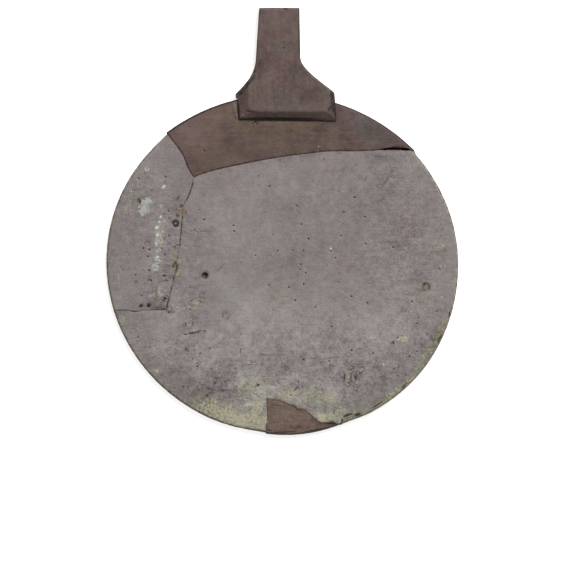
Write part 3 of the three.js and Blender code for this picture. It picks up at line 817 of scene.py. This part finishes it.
# The rejoined fragment at the left
fragmentValues = {
    "net": {"face": 0.45, "back": 2, "rim": 0.5},
    "relief": {"broad": 0.03, "grain": 0.025, "fine": 0.015, "rim": 1},
    "backCrust": 0.8,
    "rimLine": 0.3,
    "seed": 11,
    "rimBands": [(140, 200, 1.4, 0.4)],
    "scatter": [
        ("speck", 240, -62, 16, 22, 42, 0.3, 0.7),
        ("blotch", 40, -60, 14, 20, 40, 0.6, 1.6),
        ("smudge", 16, -61, -20, 8, 2.4, 0.6, 1.4),
        ("ring", 6, -64, 36, 10, 12, 0.8, 1.3),
        ("white", 22, -59, 12, 2.6, 15, 0.3, 0.8),
        ("bleach", 40, -77, 0, 5, 40, 0.4, 1.1),
        ("smudge", 30, -56, 0, 5, 20, 0.5, 1.3),
        ("bleach", 34, -62, 20, 16, 36, 0.4, 1.3),
        ("blotch", 30, -56, -12, 9, 11, 0.6, 1.6),
        ("ring", 12, -60, 6, 10, 26, 0.6, 1.1),
        ("bleach", 26, -59, 16, 3, 16, 0.4, 1),
    ],
    "marks": {
        "pit": [
            (-54.7, 13.6, 0.5), (-64.1, 6.9, 0.6), (-67.1, 7.6, 0.6), (-58.3, 7.5, 0.4), (-56.4, 42, 0.55),
            (-69.3, 41.1, 0.5), (-68.5, -20.4, 1, 0.8, 50), (-64.5, -20.4, 1.2, 0.8, 30),
            (-57.4, -17.7, 0.7), (-54.9, -19.6, 1.2, 0.8, 40), (-56.7, -16.8, 0.9, 0.6),
            (-63.3, -7.9, 0.6), (-64.3, -3.1, 0.6), (-70.8, -5.3, 0.5), (-65, 3.6, 0.5),
            (-54.9, 25.6, 0.5), (-54.7, 22, 0.4), (-76.8, -3, 0.35), (-67.8, -15.2, 0.4),
            (-57.2, -5.6, 0.9, 0.4, 20), (-56.7, 4.4, 0.5),
        ],
        "smudge": [
            (-51.4, 28.2, 1.5, 1, 40), (-51.8, 7.2, 2.4, 0.8, 10), (-59.5, -21, 6, 1.2, 3),
            (-53.4, -1, 1.8, 2.8), (-56.5, 39.5, 1, 1.6), (-70.5, -8.4, 1.8), (-57, -8, 2.6, 0.8, 30),
            (-68, 30.1, 0.8, 1), (-54.8, -17.6, 1.6, 2.4, -20), (-50.8, 31.6, 0.6, 2, -25),
            (-63.4, -6.2, 0.9, 1.4), (-54.6, 6.2, 0.8, 2.2, 30),
        ],
        "crackLine": [(-51.6, -3.6, 0.5, 2, -25), (-52.8, -1.2, 0.5, 1.6, -35)],
        "verdigris": [(-51.2, -4.4, 1.6, 3.6, -10), (-59.4, 6.8, 0.5, 1), (-51.6, -11.4, 1.4, 2.6, -40)],
        "greenHaze": [(-60, -14.6, 5, 3.4, 20), (-59, 18, 2.4, 9), (-74, 30, 2, 12, -25), (-52, 4, 3, 7)],
        "celadon": [
            (-65.6, 30.4, 2.8, 3), (-67, 26, 2, 3.8, -14), (-69.2, 27.4, 1.4, 0.8, 20),
            (-68.8, 25.6, 1.2, 0.7),
        ],
        "wash": [
            (-60, -13.6, 5.4, 3.2, 20), (-63.6, -15.6, 2.6, 1.8, -20), (-66, 28, 5, 6.6),
            (-59.4, 12, 2.6, 12), (-59.4, -12.6, 2.6, 1.4, 20), (-58, 28, 2.2, 1.8), (-52.6, -11, 2, 3),
        ],
        "filler": [(-51.6, -1, 2.6, 6, -14), (-52.6, 5, 2, 2.4), (-55.8, -19.6, 2.2, 2.6)],
        "bleach": [
            (-76, 14, 2, 5), (-79, -6, 1.6, 6), (-78, -14, 2, 4), (-74, 36, 2, 5, -25),
            (-70, 43, 3, 2, 40), (-57.8, 54.6, 1.3, 0.9), (-55.4, 55.8, 1, 0.8), (-59.6, 56, 0.8),
            (-63, 25.7, 1.4, 1), (-56, 29, 1, 0.8),
        ],
        "white": [
            (-57.2, 37.2, 2, 1, 45), (-60.6, 17.4, 1.5, 1.4), (-60.8, 9.9, 1, 1.2), (-60.4, 14, 1.2, 1.5),
            (-58.6, 22.6, 0.8, 1.2), (-60.6, 3.1, 1.3), (-59.3, 20.2, 0.9), (-72.2, 37.6, 0.5),
            (-72.9, 34.8, 0.6), (-58.4, 12.4, 0.4, 0.8), (-72.6, 33.5, 0.5), (-57.8, 15.6, 0.4, 0.6),
            (-60.4, 3.4, 0.9), (-59.4, 1.4, 0.8), (-51, 8.2, 0.6),
        ],
        "paleRing": [(-59.9, 1.2, 1.7, 1.4), (-61.3, -1.8, 1.9), (-65.2, 45.6, 1.2)],
        "blackRing": [(-51.5, 19.5, 1.9)],
        "dot": [
            (-56.7, -16.6, 0.7), (-55.8, -15.4, 0.4), (-55.6, -20.7, 0.6), (-57, -21.4, 0.5),
            (-58.2, -18.6, 0.4), (-68.6, 29.6, 0.8, 0.5, 40), (-66.6, 31, 0.4), (-60.3, 1.2, 0.4),
            (-49.4, 27.2, 0.4), (-56.8, 24, 0.4),
        ],
        "stain": [
            (-51.8, 8.2, 2.8, 0.8, 12), (-51.9, 0.2, 1.2, 3.4, -22), (-54.6, -18.4, 1.6, 2.6, -20),
            (-68, -20.2, 1.6, 1.2, 40), (-64.4, -19.4, 2, 1.2, 40), (-60, -22, 5, 0.7, 2),
            (-50.6, -6.2, 0.8, 2.6, -50), (-56.8, -5.8, 1.6, 0.7), (-48.6, 28, 1.2, 1.6, 30),
            (-51, 23.4, 0.9, 1.8, 20), (-69, 30.6, 1.2, 1.8, 30), (-64.2, -7.6, 1, 1.4, 20),
            (-60, -22.2, 7, 0.5, 2), (-58.4, -19.4, 1.6, 1), (-56, -8, 2, 0.7),
            (-50.2, 31.8, 0.6, 2.4, -20), (-63.6, -19.6, 2.4, 1.3, 30), (-50.3, 23.2, 1.3, 0.6, 20),
            (-50.9, 26.4, 0.5, 1.2, -20), (-50.6, 9.2, 1.4, 0.6, 8), (-55.4, -20.4, 0.8, 1.6, -20),
        ],
        "yellowRing": [(-67.7, 44.7, 1.2), (-69.6, 40, 1), (-58.8, 10.8, 1, 2.4), (-71.6, 36.6, 1)],
        "ring": [(-65.3, 10, 1.4), (-71.7, 36.5, 1.4), (-53.4, -21.6, 2)],
        "rust": [(-49.2, 25.2, 2), (-50.4, 22.8, 1.2, 0.8, 20), (-51.6, -0.6, 0.7, 3, -12)],
    },
    "fields": {
        "tone": [
            (-60, 12, 4, 16, 0, 0.12), (-60, -15, 6, 4, 0, -0.14), (-50, 0, 3, 8, 0, -0.12),
            (-59, -20.5, 9, 2, 0, -0.2), (-76, -14, 5, 7, 0, 0.12), (-64, 53, 8, 5, 45, 0.06),
            (-72, 8, 5, 8, 0, -0.03), (-50, 36, 4, 10, -15, -0.12), (-60, 48, 8, 6, 45, -0.08),
            (-62, 5, 18, 30, 0, 0.06), (-78, -24, 5, 6, 0, 0.14), (-63, -10, 6, 5, 0, -0.12),
            (-64, 3, 3, 5, 0, -0.08),
        ],
        "mottle": [(-56, 0, 8, 26, 0, 1.2), (-68, 30, 10, 16, 0, 0.7)],
    },
}
fragment = dressPlate("left_fragment", "rejoined_fragment", fragmentValues)

# The infills of newer metal
upperValues = {
    "net": {"face": 0.5, "back": 2.2, "rim": 0.55},
    "relief": {"broad": 0.03, "grain": 0.012, "fine": 0.01, "rim": 0.5},
    "backCrust": 0.2,
    "rimLine": 0.7,
    "seed": 7,
    "rimBands": [],
    "scatter": [
        ("speck", 90, 4, 62, 54, 15, 0.2, 0.4),
        ("blotch", 20, 4, 62, 54, 15, 0.5, 1.3),
        ("bleach", 16, 0, 64, 50, 12, 0.4, 1),
    ],
    "marks": {
        "pit": [
            (-13, 68.3, 0.6), (-14.5, 67.5, 0.4, 0.3), (-37.7, 54.4, 0.45), (-12.4, 67.3, 0.7, 0.3, 30),
        ],
        "smudge": [
            (-14, 68, 2.6, 1, 10), (20, 69, 4, 0.7, -4), (-55.4, 61.6, 1.2), (30, 64.5, 8, 0.8, -6),
            (-16, 69.4, 1.4, 0.3, -30), (-11.6, 69.6, 1.2, 0.3, 40), (48.5, 55.4, 5, 0.7),
            (56, 56.8, 5, 0.6, -14),
        ],
        "verdigris": [(-18, 69.6, 2.6, 0.6), (16.9, 54.6, 0.6)],
        "faintHaze": [(8, 67, 20, 3), (-38, 68, 5, 3, 20)],
        "white": [(17.3, 56.6, 0.5), (17, 54.3, 0.3)],
        "bead": [(-23.3, 75, 5, 1, -78), (-22.4, 71.2, 1.6, 0.8, -80)],
        "bleach": [(-17.6, 68.9, 3, 0.7), (-21.4, 69.6, 1.4, 1), (-24.6, 74, 1, 5)],
        "rust": [
            (-40.5, 43.8, 2.4, 1, 15), (-37.5, 47, 1.2), (-52.2, 57.8, 4.6, 0.6, -58),
            (-47.6, 50.2, 4, 0.6, -63),
        ],
        "darkLine": [(54.4, 56.3, 3.4, 0.6, 6), (48.6, 55.3, 2.4, 0.4, 4)],
    },
    "fields": {
        "tone": [
            (-42, 64, 10, 9, 0, 0.2), (-24, 57, 8, 5, 0, -0.12), (4, 68.4, 24, 2, 0, 0.08),
            (30, 67, 9, 5, -30, -0.12), (46, 64, 14, 4, -32, -0.1), (-23, 76, 4, 4, 0, 0.14),
            (20, 61, 16, 3, 0, -0.02), (-44, 46, 3, 6, -60, 0.04), (-30, 73, 5, 4.5, 0, 0.1),
            (-48, 58, 6, 10, -50, 0.2), (27.5, 75, 2.4, 4, 0, -0.2), (4, 62, 8, 6, 0, -0.12),
            (34, 62, 6, 6, 0, -0.12), (-34, 72, 7, 4, 0, 0.12), (20, 67.4, 3.6, 2.4, 0, -0.2),
            (40, 69, 6, 3, -35, 0.1), (32, 73, 4, 3, 0, 0.1), (-49, 66, 4, 4, -40, 0.1),
        ],
        "olive": [
            (-46, 60, 9, 12, 0, -0.3), (42, 65, 16, 8, -30, -0.7), (-12, 60, 8, 5, 0, 0.2),
            (12, 66, 12, 4, 0, 0.2),
        ],
        "mottle": [(20, 60, 40, 12, 0, 0.4)],
    },
}
upperInfill = dressPlate("upper_infill", "upper_new_metal", upperValues)

lowerValues = {
    "net": {"face": 0.35, "back": 1.5, "rim": 0.4},
    "relief": {"broad": 0.03, "grain": 0.02, "fine": 0.012, "rim": 0.6},
    "backCrust": 0.2,
    "rimLine": 0.5,
    "seed": 9,
    "rimBands": [],
    "scatter": [("speck", 24, 6, -74, 14, 8, 0.2, 0.4), ("blotch", 10, 6, -74, 14, 8, 0.5, 1.5)],
    "marks": {
        "smudge": [(24, -77.4, 4, 1.2, -4), (22, -77, 3, 1), (8, -78.4, 3, 0.8, 6)],
        "darkLine": [
            (1, -80.9, 9, 0.4, 2), (-6.4, -80, 2, 0.45, -8), (16, -79.7, 8, 0.35, 11), (24, -76.8, 4, 0.5),
        ],
        "stain": [(8, -70.4, 4, 0.5, -28), (-2, -68.2, 5, 0.5, -12)],
        "white": [(-7.2, -75.4, 0.35, 2.6)],
        "bleach": [(12, -71.4, 3, 0.8, -35)],
    },
    "fields": {
        "tone": [
            (1, -73, 6, 4, -20, 0.14), (8, -78.6, 13, 1.6, 8, -0.2), (21, -77, 6, 2.4, -10, -0.3),
            (13, -73.6, 4, 1, -35, 0.1), (-6, -78, 2, 4, 0, 0.05),
        ],
        "mottle": [(8, -76, 16, 8, 0, 0.9)],
        "rust": [(-4, -68, 5, 6, 0, 0.46), (12.6, -72.6, 1.8, 1, -35, 0.4)],
    },
}
lowerInfill = dressPlate("lower_infill", "lower_new_metal", lowerValues)

# The handle
handleValues = {
    "voxel": 0.28,
    "smoothing": 4,                # rounds that soften the edges
    "relief": 0.02,
    "waves": ((1, 0.4), (0.5, 1.5)),
    "dents": 0.06,
    "dentWaves": 0.5,
    "wallFacing": 0.3,             # a face turned up less than this is a wall
    "edgeFacing": (0.35, 0.8),
    "shadedBevel": 0.6,            # how dark the bevel is that faces right: painted shade
    "bevelSideways": (0.2, 0.4),
    "bevelFacing": (0.3, 0.6),
    "seed": 3,
    "scatter": [
        ("speck", 70, 0, 95, 22, 28, 0.2, 0.4),
        ("blotch", 50, 0, 95, 20, 28, 0.6, 1.8),
        ("bleach", 16, 0, 95, 18, 28, 0.4, 1.2),
    ],
    "marks": {
        "pit": [(0.5, 103.8, 0.5), (1.4, 122.6, 1.2, 0.6)],
        "smudge": [
            (-8.8, 93.6, 1.2, 3, -20), (-14, 73.2, 3, 0.8, -12), (14, 89, 0.5, 6, 50),
            (-9.4, 117, 0.35, 6), (7.1, 111, 0.35, 12), (-11.6, 96, 1, 4, -8),
        ],
        "greenHaze": [(4, 118, 7, 4), (2, 80, 10, 3), (-11.5, 88.5, 2, 2.4, -40), (-18.4, 79, 1.6, 5)],
        "white": [(-19, 71.6, 0.45)],
        # the stains at x 22 to 26 are painted shade on the bevel that faces right
        "stain": [
            (-16.5, 86.6, 8, 1.6, 52), (-20, 82.4, 3.4, 1.6, 50), (-13.4, 92.4, 1.4, 3, -20),
            (25.4, 73.6, 1, 3), (-19.4, 82.6, 2.4, 1.2, 50), (25, 76, 1.2, 4, -6), (23.6, 80.6, 2, 1, -50),
            (-15.4, 73.4, 4, 0.8, -14), (22.4, 74.4, 0.8, 2.4, -30),
        ],
        # the first three dark lines are painted shadow along the slab's foot: below it, at its left side
        # and at its right side
        "darkLine": [
            (1.5, 70, 24, 0.8, -1), (-21.2, 75, 5.4, 0.7, 96), (25.7, 72, 0.5, 3.4),
            (8, 110.6, 0.45, 13.4), (-2, 123.1, 10.4, 0.35), (-12.2, 112, 0.3, 12, 2),
            (1.4, 122.8, 1.8, 0.7), (11.6, 93.4, 4, 0.5, -50), (19, 87.1, 7.4, 0.45, -38),
        ],
    },
    "fields": {
        # the fields near y 71 are painted shade and light on the slab's bottom bevel: darker in its
        # middle, lighter at its ends
        "tone": [
            (-4, 104, 5, 7, 0, -0.1), (-10, 96, 3, 8, -10, -0.14), (14, 82, 7, 5, 0, -0.22),
            (-9.4, 95, 3, 3, 0, -0.16), (-2, 108, 6, 5, 0, -0.14), (10, 97, 4, 7, 0, -0.12),
            (-6, 90, 3, 4, 0, 0.08), (2, 90, 4, 4, 0, -0.12), (-4, 88, 6, 4, 0, 0.1),
            (-3, 117, 7, 6, 0, 0.1), (4, 76, 16, 3, 0, 0.02), (-17, 71, 3, 1.6, 0, 0.14),
            (-10, 71.6, 4, 1.4, 0, -0.14), (21, 71, 4, 2, 0, 0.2), (3, 71.4, 9, 1.4, -2, -0.14),
            (2, 83, 8, 6, 0, -0.02), (12, 93, 4, 6, 30, -0.08), (-20, 76, 2, 4, 0, -0.08),
            (6, 71.6, 10, 2, 0, 0.07), (13, 80, 4, 4, 0, -0.06), (13.4, 85.7, 3, 3, 0, 0.14),
            (13.2, 74, 4, 2, 0, 0.08), (3, 108.5, 3, 4, 0, 0.08), (-7.6, 103, 3, 4, 0, 0.1),
            (-7.9, 91.5, 3, 3, 0, 0.06),
        ],
        "mottle": [(0, 90, 20, 20, 0, 0.3)],
    },
}


def dressHandle():
    piece = objectFrom(mergedCopy("tang_handle"), "brown_handle")
    even = piece.modifiers.new("even", "REMESH")
    even.mode = "VOXEL"
    even.voxel_size = handleValues["voxel"] * mm * 1
    applyModifiers(piece)
    bm = bmesh.new()
    bm.from_mesh(piece.data)
    axes = {"use_axis_x": True, "use_axis_y": True, "use_axis_z": True}
    for _ in range(handleValues["smoothing"]):
        bmesh.ops.smooth_vert(bm, verts=bm.verts, factor=0.5, **axes)
    bm.normal_update()
    verts = list(bm.verts)
    layers, lifts = markSurface(verts, handleValues)
    for i, vert in enumerate(verts):
        point = vert.co / mm
        facing = vert.normal.z
        layers["edge"][i] = 1 - smoothStep(*handleValues["edgeFacing"], facing)
        # painted shade: the bevel that faces right is darkened by how far it turns right and up
        turnedRight = smoothStep(*handleValues["bevelSideways"], vert.normal.x)
        shaded = turnedRight * smoothStep(*handleValues["bevelFacing"], facing)
        layers["dark"][i] += handleValues["shadedBevel"] * shaded
        if facing > handleValues["wallFacing"]:
            lift = lifts[i] + handleValues["relief"] * waved(point, handleValues["waves"])
            vert.co.z += lift * mm
        else:
            for layer in ("olive", "pale", "rust", "dark"):
                layers[layer][i] = 0
            dent = handleValues["dents"] * abs(noise.noise(point * handleValues["dentWaves"]))
            vert.co -= vert.normal * dent * mm
    replaceNode("tang_handle", piece, bm, layers)
    return piece


handle = dressHandle()


# Finishes
def tint(red, green, blue):
    def straight(value):
        share = value / 255
        return share / 12.92 if share <= 0.04045 else ((share + 0.055) / 1.055) ** 2.4
    return (straight(red), straight(green), straight(blue), 1)


def tints(colours):
    return {name: tint(*colour) for name, colour in colours.items()}


def startFinish(name):
    finish = bpy.data.materials.new(name)
    finish.use_nodes = True
    return finish, finish.node_tree, finish.node_tree.nodes["Principled BSDF"]


def link(tree, value, socket):
    if isinstance(value, bpy.types.NodeSocket):
        tree.links.new(value, socket)
    else:
        socket.default_value = value


def mathNode(tree, operation, first, second, third=None, clamp=False):
    node = tree.nodes.new("ShaderNodeMath")
    node.operation = operation
    node.use_clamp = clamp
    link(tree, first, node.inputs[0])
    link(tree, second, node.inputs[1])
    if third is not None:
        link(tree, third, node.inputs[2])
    return node.outputs[0]


# A cloudy pattern about zero, with waves of the given size
def cloud(tree, size, detail=3, rough=0.6, stretch=(1, 1, 1), turn=0):
    place = tree.nodes.new("ShaderNodeTexCoord")
    mapping = tree.nodes.new("ShaderNodeMapping")
    mapping.inputs["Scale"].default_value = [value / (size * mm) for value in stretch]
    mapping.inputs["Rotation"].default_value[2] = math.radians(turn)
    tree.links.new(place.outputs["Object"], mapping.inputs["Vector"])
    node = tree.nodes.new("ShaderNodeTexNoise")
    node.inputs["Scale"].default_value = 1
    node.inputs["Detail"].default_value = detail
    node.inputs["Roughness"].default_value = rough
    tree.links.new(mapping.outputs["Vector"], node.inputs["Vector"])
    return mathNode(tree, "SUBTRACT", node.outputs["Fac"], 0.5)


def layerShare(tree, name):
    node = tree.nodes.new("ShaderNodeAttribute")
    node.attribute_name = name
    return node.outputs["Fac"]


def mixed(tree, share, first, second):
    node = tree.nodes.new("ShaderNodeMix")
    node.data_type = "RGBA"
    link(tree, share, node.inputs[0])
    link(tree, first, node.inputs[6])
    link(tree, second, node.inputs[7])
    return node.outputs[2]


# 0 up to the low value, rising smoothly to the top at the high one
def ranged(tree, value, low, high, top=1.0):
    node = tree.nodes.new("ShaderNodeMapRange")
    node.interpolation_type = "SMOOTHSTEP"
    link(tree, value, node.inputs["Value"])
    node.inputs["From Min"].default_value = low
    node.inputs["From Max"].default_value = high
    node.inputs["To Max"].default_value = top
    return node.outputs["Result"]


# The sum of sockets, each given with its weight
def total(tree, *terms):
    value, weight = terms[0]
    result = mathNode(tree, "MULTIPLY", value, weight)
    for value, weight in terms[1:]:
        result = mathNode(tree, "MULTIPLY_ADD", value, weight, result)
    return result


# A layer of a piece with some clouds over it, as a share between two thresholds
def layerRange(tree, name, clouds, low, high, top=1.0):
    return ranged(tree, total(tree, (layerShare(tree, name), 1), *clouds), low, high, top)


# What all the metals share once their colour is known
metal = {"metallic": 0.1, "specular": 0.3}


def finishMetal(tree, shader, colour, roughness, gloss, height, depth):
    tree.links.new(colour, shader.inputs["Base Color"])
    tree.links.new(mathNode(tree, "ADD", gloss, roughness, clamp=True), shader.inputs["Roughness"])
    shader.inputs["Metallic"].default_value = metal["metallic"]
    shader.inputs["Specular IOR Level"].default_value = metal["specular"]
    bump = tree.nodes.new("ShaderNodeBump")
    bump.inputs["Strength"].default_value = 1
    bump.inputs["Distance"].default_value = depth * mm
    tree.links.new(height, bump.inputs["Height"])
    tree.links.new(bump.outputs["Normal"], shader.inputs["Normal"])


# The old metal: grey and mauve under green and yellow corrosion
patina = {
    "colours": {
        "mauveDark": (104, 94, 93), "mauveBright": (167, 158, 157),
        "greyDark": (101, 95, 91), "greyBright": (164, 159, 155),
        "oliveDark": (112, 105, 88), "oliveLight": (184, 177, 151),
        "greenDark": (108, 108, 94), "greenLight": (176, 180, 160),
        "hazeDark": (104, 100, 89), "hazeLight": (173, 169, 149),
        "rimDark": (88, 78, 68), "rimLight": (152, 141, 120),
        "pale": (177, 183, 171), "white": (212, 208, 200), "rust": (132, 106, 84), "dark": (48, 40, 37),
    },
    "strengths": {
        "haze": 0.85, "crust": 0.82, "rust": 0.85, "pale": 0.82,
        "white": 0.85, "holes": 0.5, "dark": 0.95, "rim": 0.7,
    },
    "mottling": 1.2,               # how much the mottle layer strengthens the clouds
    "roughness": 0.6,
    "bump": 0.14,
}


def patinaFinish(name, warmth, darkening):
    finish, tree, shader = startFinish(name)
    colours, strengths = tints(patina["colours"]), patina["strengths"]
    broad = cloud(tree, 26, 2, 0.55)
    hue = cloud(tree, 18, 4)
    patch = cloud(tree, 7, 4)
    blur = cloud(tree, 3.6)
    speck = cloud(tree, 2.2)
    grain = cloud(tree, 0.9, 2)
    scratch = cloud(tree, 3, 3, 0.6, (0.35, 3.2, 1), -14)
    crustGrain = cloud(tree, 1.5, 4, 0.65)
    crustPatch = cloud(tree, 4.5, 4)
    holes = cloud(tree, 2.6, 1, 0.5)
    tone, olive = layerShare(tree, "tone"), layerShare(tree, "olive")

    # bare metal
    noisy = total(tree, (patch, 0.36), (blur, 0.28), (speck, 0.42), (grain, 0.42), (scratch, 0.24))
    mottling = mathNode(tree, "MULTIPLY_ADD", layerShare(tree, "mottle"), patina["mottling"], 1)
    noisy = mathNode(tree, "MULTIPLY", noisy, mottling)
    shade = total(tree, (broad, 0.34), (noisy, 1), (tone, 1))
    share = mathNode(tree, "ADD", shade, 0.5 - darkening, clamp=True)
    mauve = mixed(tree, share, colours["mauveDark"], colours["mauveBright"])
    grey = mixed(tree, share, colours["greyDark"], colours["greyBright"])
    hueTerms = total(tree, (hue, 1), (speck, -0.3), (olive, -0.4))
    hueShare = ranged(tree, mathNode(tree, "ADD", hueTerms, 0.06 + warmth), -0.16, 0.16)
    base = mixed(tree, hueShare, grey, mauve)

    # green haze, and the crust where it is thick
    haze = mixed(tree, share, colours["hazeDark"], colours["hazeLight"])
    hazeTerms = total(tree, (olive, 1), (patch, 0.3), (speck, 0.25))
    hazeShare = ranged(tree, hazeTerms, 0.04, 0.55, strengths["haze"])
    base = mixed(tree, hazeShare, base, haze)
    crust = total(tree, (olive, 1), (crustPatch, 0.45), (crustGrain, 0.95))
    crustShare = ranged(tree, crust, 0.34, 1, strengths["crust"])
    crustLight = total(tree, (crustGrain, 1.3), (crustPatch, 0.4), (grain, 0.8), (tone, 0.6))
    yellow = ranged(tree, total(tree, (olive, 1), (hue, 0.8)), 0.5, 0.95)
    crustDark = mixed(tree, yellow, colours["greenDark"], colours["oliveDark"])
    crustPale = mixed(tree, yellow, colours["greenLight"], colours["oliveLight"])
    crustColour = mixed(tree, ranged(tree, crustLight, -0.22, 0.24), crustDark, crustPale)
    base = mixed(tree, crustShare, base, crustColour)

    # rusty, pale and dark marks, and the rim
    rust = layerRange(tree, "rust", [(speck, 0.9), (grain, 0.5)], 0.25, 0.95, strengths["rust"])
    base = mixed(tree, rust, base, colours["rust"])
    pale = total(tree, (layerShare(tree, "pale"), 1), (crustGrain, 0.7), (grain, 0.4))
    base = mixed(tree, ranged(tree, pale, 0.14, 0.7, strengths["pale"]), base, colours["pale"])
    base = mixed(tree, ranged(tree, pale, 0.68, 1.05, strengths["white"]), base, colours["white"])
    pinholes = ranged(tree, total(tree, (holes, 1), (grain, 0.25)), 0.22, 0.3, strengths["holes"])
    darkSpots = layerRange(tree, "dark", [(grain, 0.3)], 0.03, 0.85, strengths["dark"])
    dark = mathNode(tree, "MAXIMUM", pinholes, darkSpots)
    base = mixed(tree, dark, base, colours["dark"])
    rim = layerRange(tree, "edge", [(patch, 0.8)], 0.2, 1, strengths["rim"])
    rimColour = mixed(tree, ranged(tree, speck, -0.12, 0.14), colours["rimDark"], colours["rimLight"])
    base = mixed(tree, rim, base, rimColour)

    gloss = total(tree, (patch, 0.25), (grain, 0.2), (crustShare, 0.15))
    height = total(tree, (speck, 0.6), (grain, 0.6), (crustGrain, 0.4))
    finishMetal(tree, shader, base, patina["roughness"], gloss, height, patina["bump"])
    return finish


# The newer metal: a red and a tan brown, which turn grey where the olive layer is below zero
brown = {
    "colours": {
        "rust": (116, 90, 70), "olive": (116, 106, 86), "pale": (164, 154, 142), "dark": (34, 26, 23),
    },
    "strengths": {"rust": 0.6, "olive": 0.45, "pale": 0.8, "dark": 0.92},
    "mottling": 0.8,
    "roughness": 0.58,
    "bump": 0.12,
}
infillLook = {
    "colours": {
        "redDark": (64, 47, 43), "redLight": (118, 98, 94),
        "tanDark": (62, 49, 38), "tanLight": (114, 98, 82),
        "greyDark": (58, 49, 46), "greyLight": (110, 98, 95),
        "edge": (44, 34, 31),
    },
    "rimShare": 0.9, "patches": 0.75, "fine": 1.05,
    "streaks": 1, "streakStretch": (0.6, 4, 1), "streakTurn": 0,
}
wedgeLook = {
    "colours": {
        "redDark": (84, 62, 51), "redLight": (140, 121, 108),
        "tanDark": (80, 65, 57), "tanLight": (134, 117, 106),
        "greyDark": (72, 66, 63), "greyLight": (120, 112, 108),
        "edge": (84, 78, 75),
    },
    "rimShare": 0.8, "patches": 0.66, "fine": 1.45,
    "streaks": 0.6, "streakStretch": (0.6, 3, 1), "streakTurn": 12,
}
handleLook = {
    "colours": {
        "redDark": (64, 45, 42), "redLight": (119, 98, 95),
        "tanDark": (60, 48, 43), "tanLight": (112, 100, 93),
        "greyDark": (58, 50, 46), "greyLight": (108, 98, 93),
        "edge": (52, 42, 39),
    },
    "rimShare": 0.8, "patches": 0.6, "fine": 1.4,
    "streaks": 0.6, "streakStretch": (3, 0.6, 1), "streakTurn": 0,
}


def brownFinish(name, look):
    finish, tree, shader = startFinish(name)
    colours = tints({**brown["colours"], **look["colours"]})
    strengths, streaks = brown["strengths"], look["streaks"]
    broad = cloud(tree, 22, 3, 0.55)
    hue = cloud(tree, 12, 4, 0.65, (1, 1.8, 1))
    patch = cloud(tree, 6, 4)
    streak = cloud(tree, 5, 4, 0.6, look["streakStretch"], look["streakTurn"])
    fineStreak = cloud(tree, 1.8, 3, 0.6, look["streakStretch"], look["streakTurn"])
    speck = cloud(tree, 2)
    grain = cloud(tree, 0.9, 2)
    olive = layerShare(tree, "olive")

    # bare metal
    fine = total(tree, (streak, 0.5 * streaks), (fineStreak, 0.3 * streaks), (speck, 0.36), (grain, 0.32))
    noisy = total(tree, (patch, look["patches"]), (fine, look["fine"]))
    mottling = mathNode(tree, "MULTIPLY_ADD", layerShare(tree, "mottle"), brown["mottling"], 1)
    noisy = mathNode(tree, "MULTIPLY", noisy, mottling)
    shade = total(tree, (broad, 0.5), (noisy, 1), (layerShare(tree, "tone"), 1))
    share = mathNode(tree, "ADD", shade, 0.5, clamp=True)
    red = mixed(tree, share, colours["redDark"], colours["redLight"])
    tan = mixed(tree, share, colours["tanDark"], colours["tanLight"])
    grey = mixed(tree, share, colours["greyDark"], colours["greyLight"])
    hueTerms = total(tree, (hue, 1), (patch, 0.4), (olive, 0.5))
    base = mixed(tree, ranged(tree, hueTerms, -0.16, 0.2), red, tan)
    base = mixed(tree, ranged(tree, olive, -0.2, -0.7), base, grey)

    # marks and the rim
    rust = layerRange(tree, "rust", [(patch, 0.7)], 0.2, 0.9, strengths["rust"])
    base = mixed(tree, rust, base, colours["rust"])
    green = ranged(tree, total(tree, (olive, 1), (patch, 0.5)), 0.5, 0.9, strengths["olive"])
    base = mixed(tree, green, base, colours["olive"])
    pale = ranged(tree, layerShare(tree, "pale"), 0.2, 0.95, strengths["pale"])
    base = mixed(tree, pale, base, colours["pale"])
    dark = layerRange(tree, "dark", [(grain, 0.25)], 0.03, 0.9, strengths["dark"])
    base = mixed(tree, dark, base, colours["dark"])
    rim = layerRange(tree, "edge", [(speck, 0.5)], 0.1, 1, look["rimShare"])
    base = mixed(tree, rim, base, colours["edge"])

    gloss = total(tree, (patch, 0.3), (grain, 0.2))
    height = total(tree, (fineStreak, 0.3 * streaks), (grain, 0.5), (speck, 0.4))
    finishMetal(tree, shader, base, brown["roughness"], gloss, height, brown["bump"])
    return finish


finishes = [
    (disc, patinaFinish("grey patina", warmth=0.02, darkening=0.08), "disc_bronze"),
    (fragment, patinaFinish("darker grey patina", warmth=0.07, darkening=0.09), "fragment_bronze"),
    (upperInfill, brownFinish("brown metal", infillLook), "infill_bronze"),
    (lowerInfill, brownFinish("warm brown metal", wedgeLook), "wedge_bronze"),
    (handle, brownFinish("handle brown", handleLook), "handle_bronze"),
]
for piece, finish, slotName in finishes:
    piece.data.materials.clear()
    piece.data.materials.append(finish)
print("finishes ready")
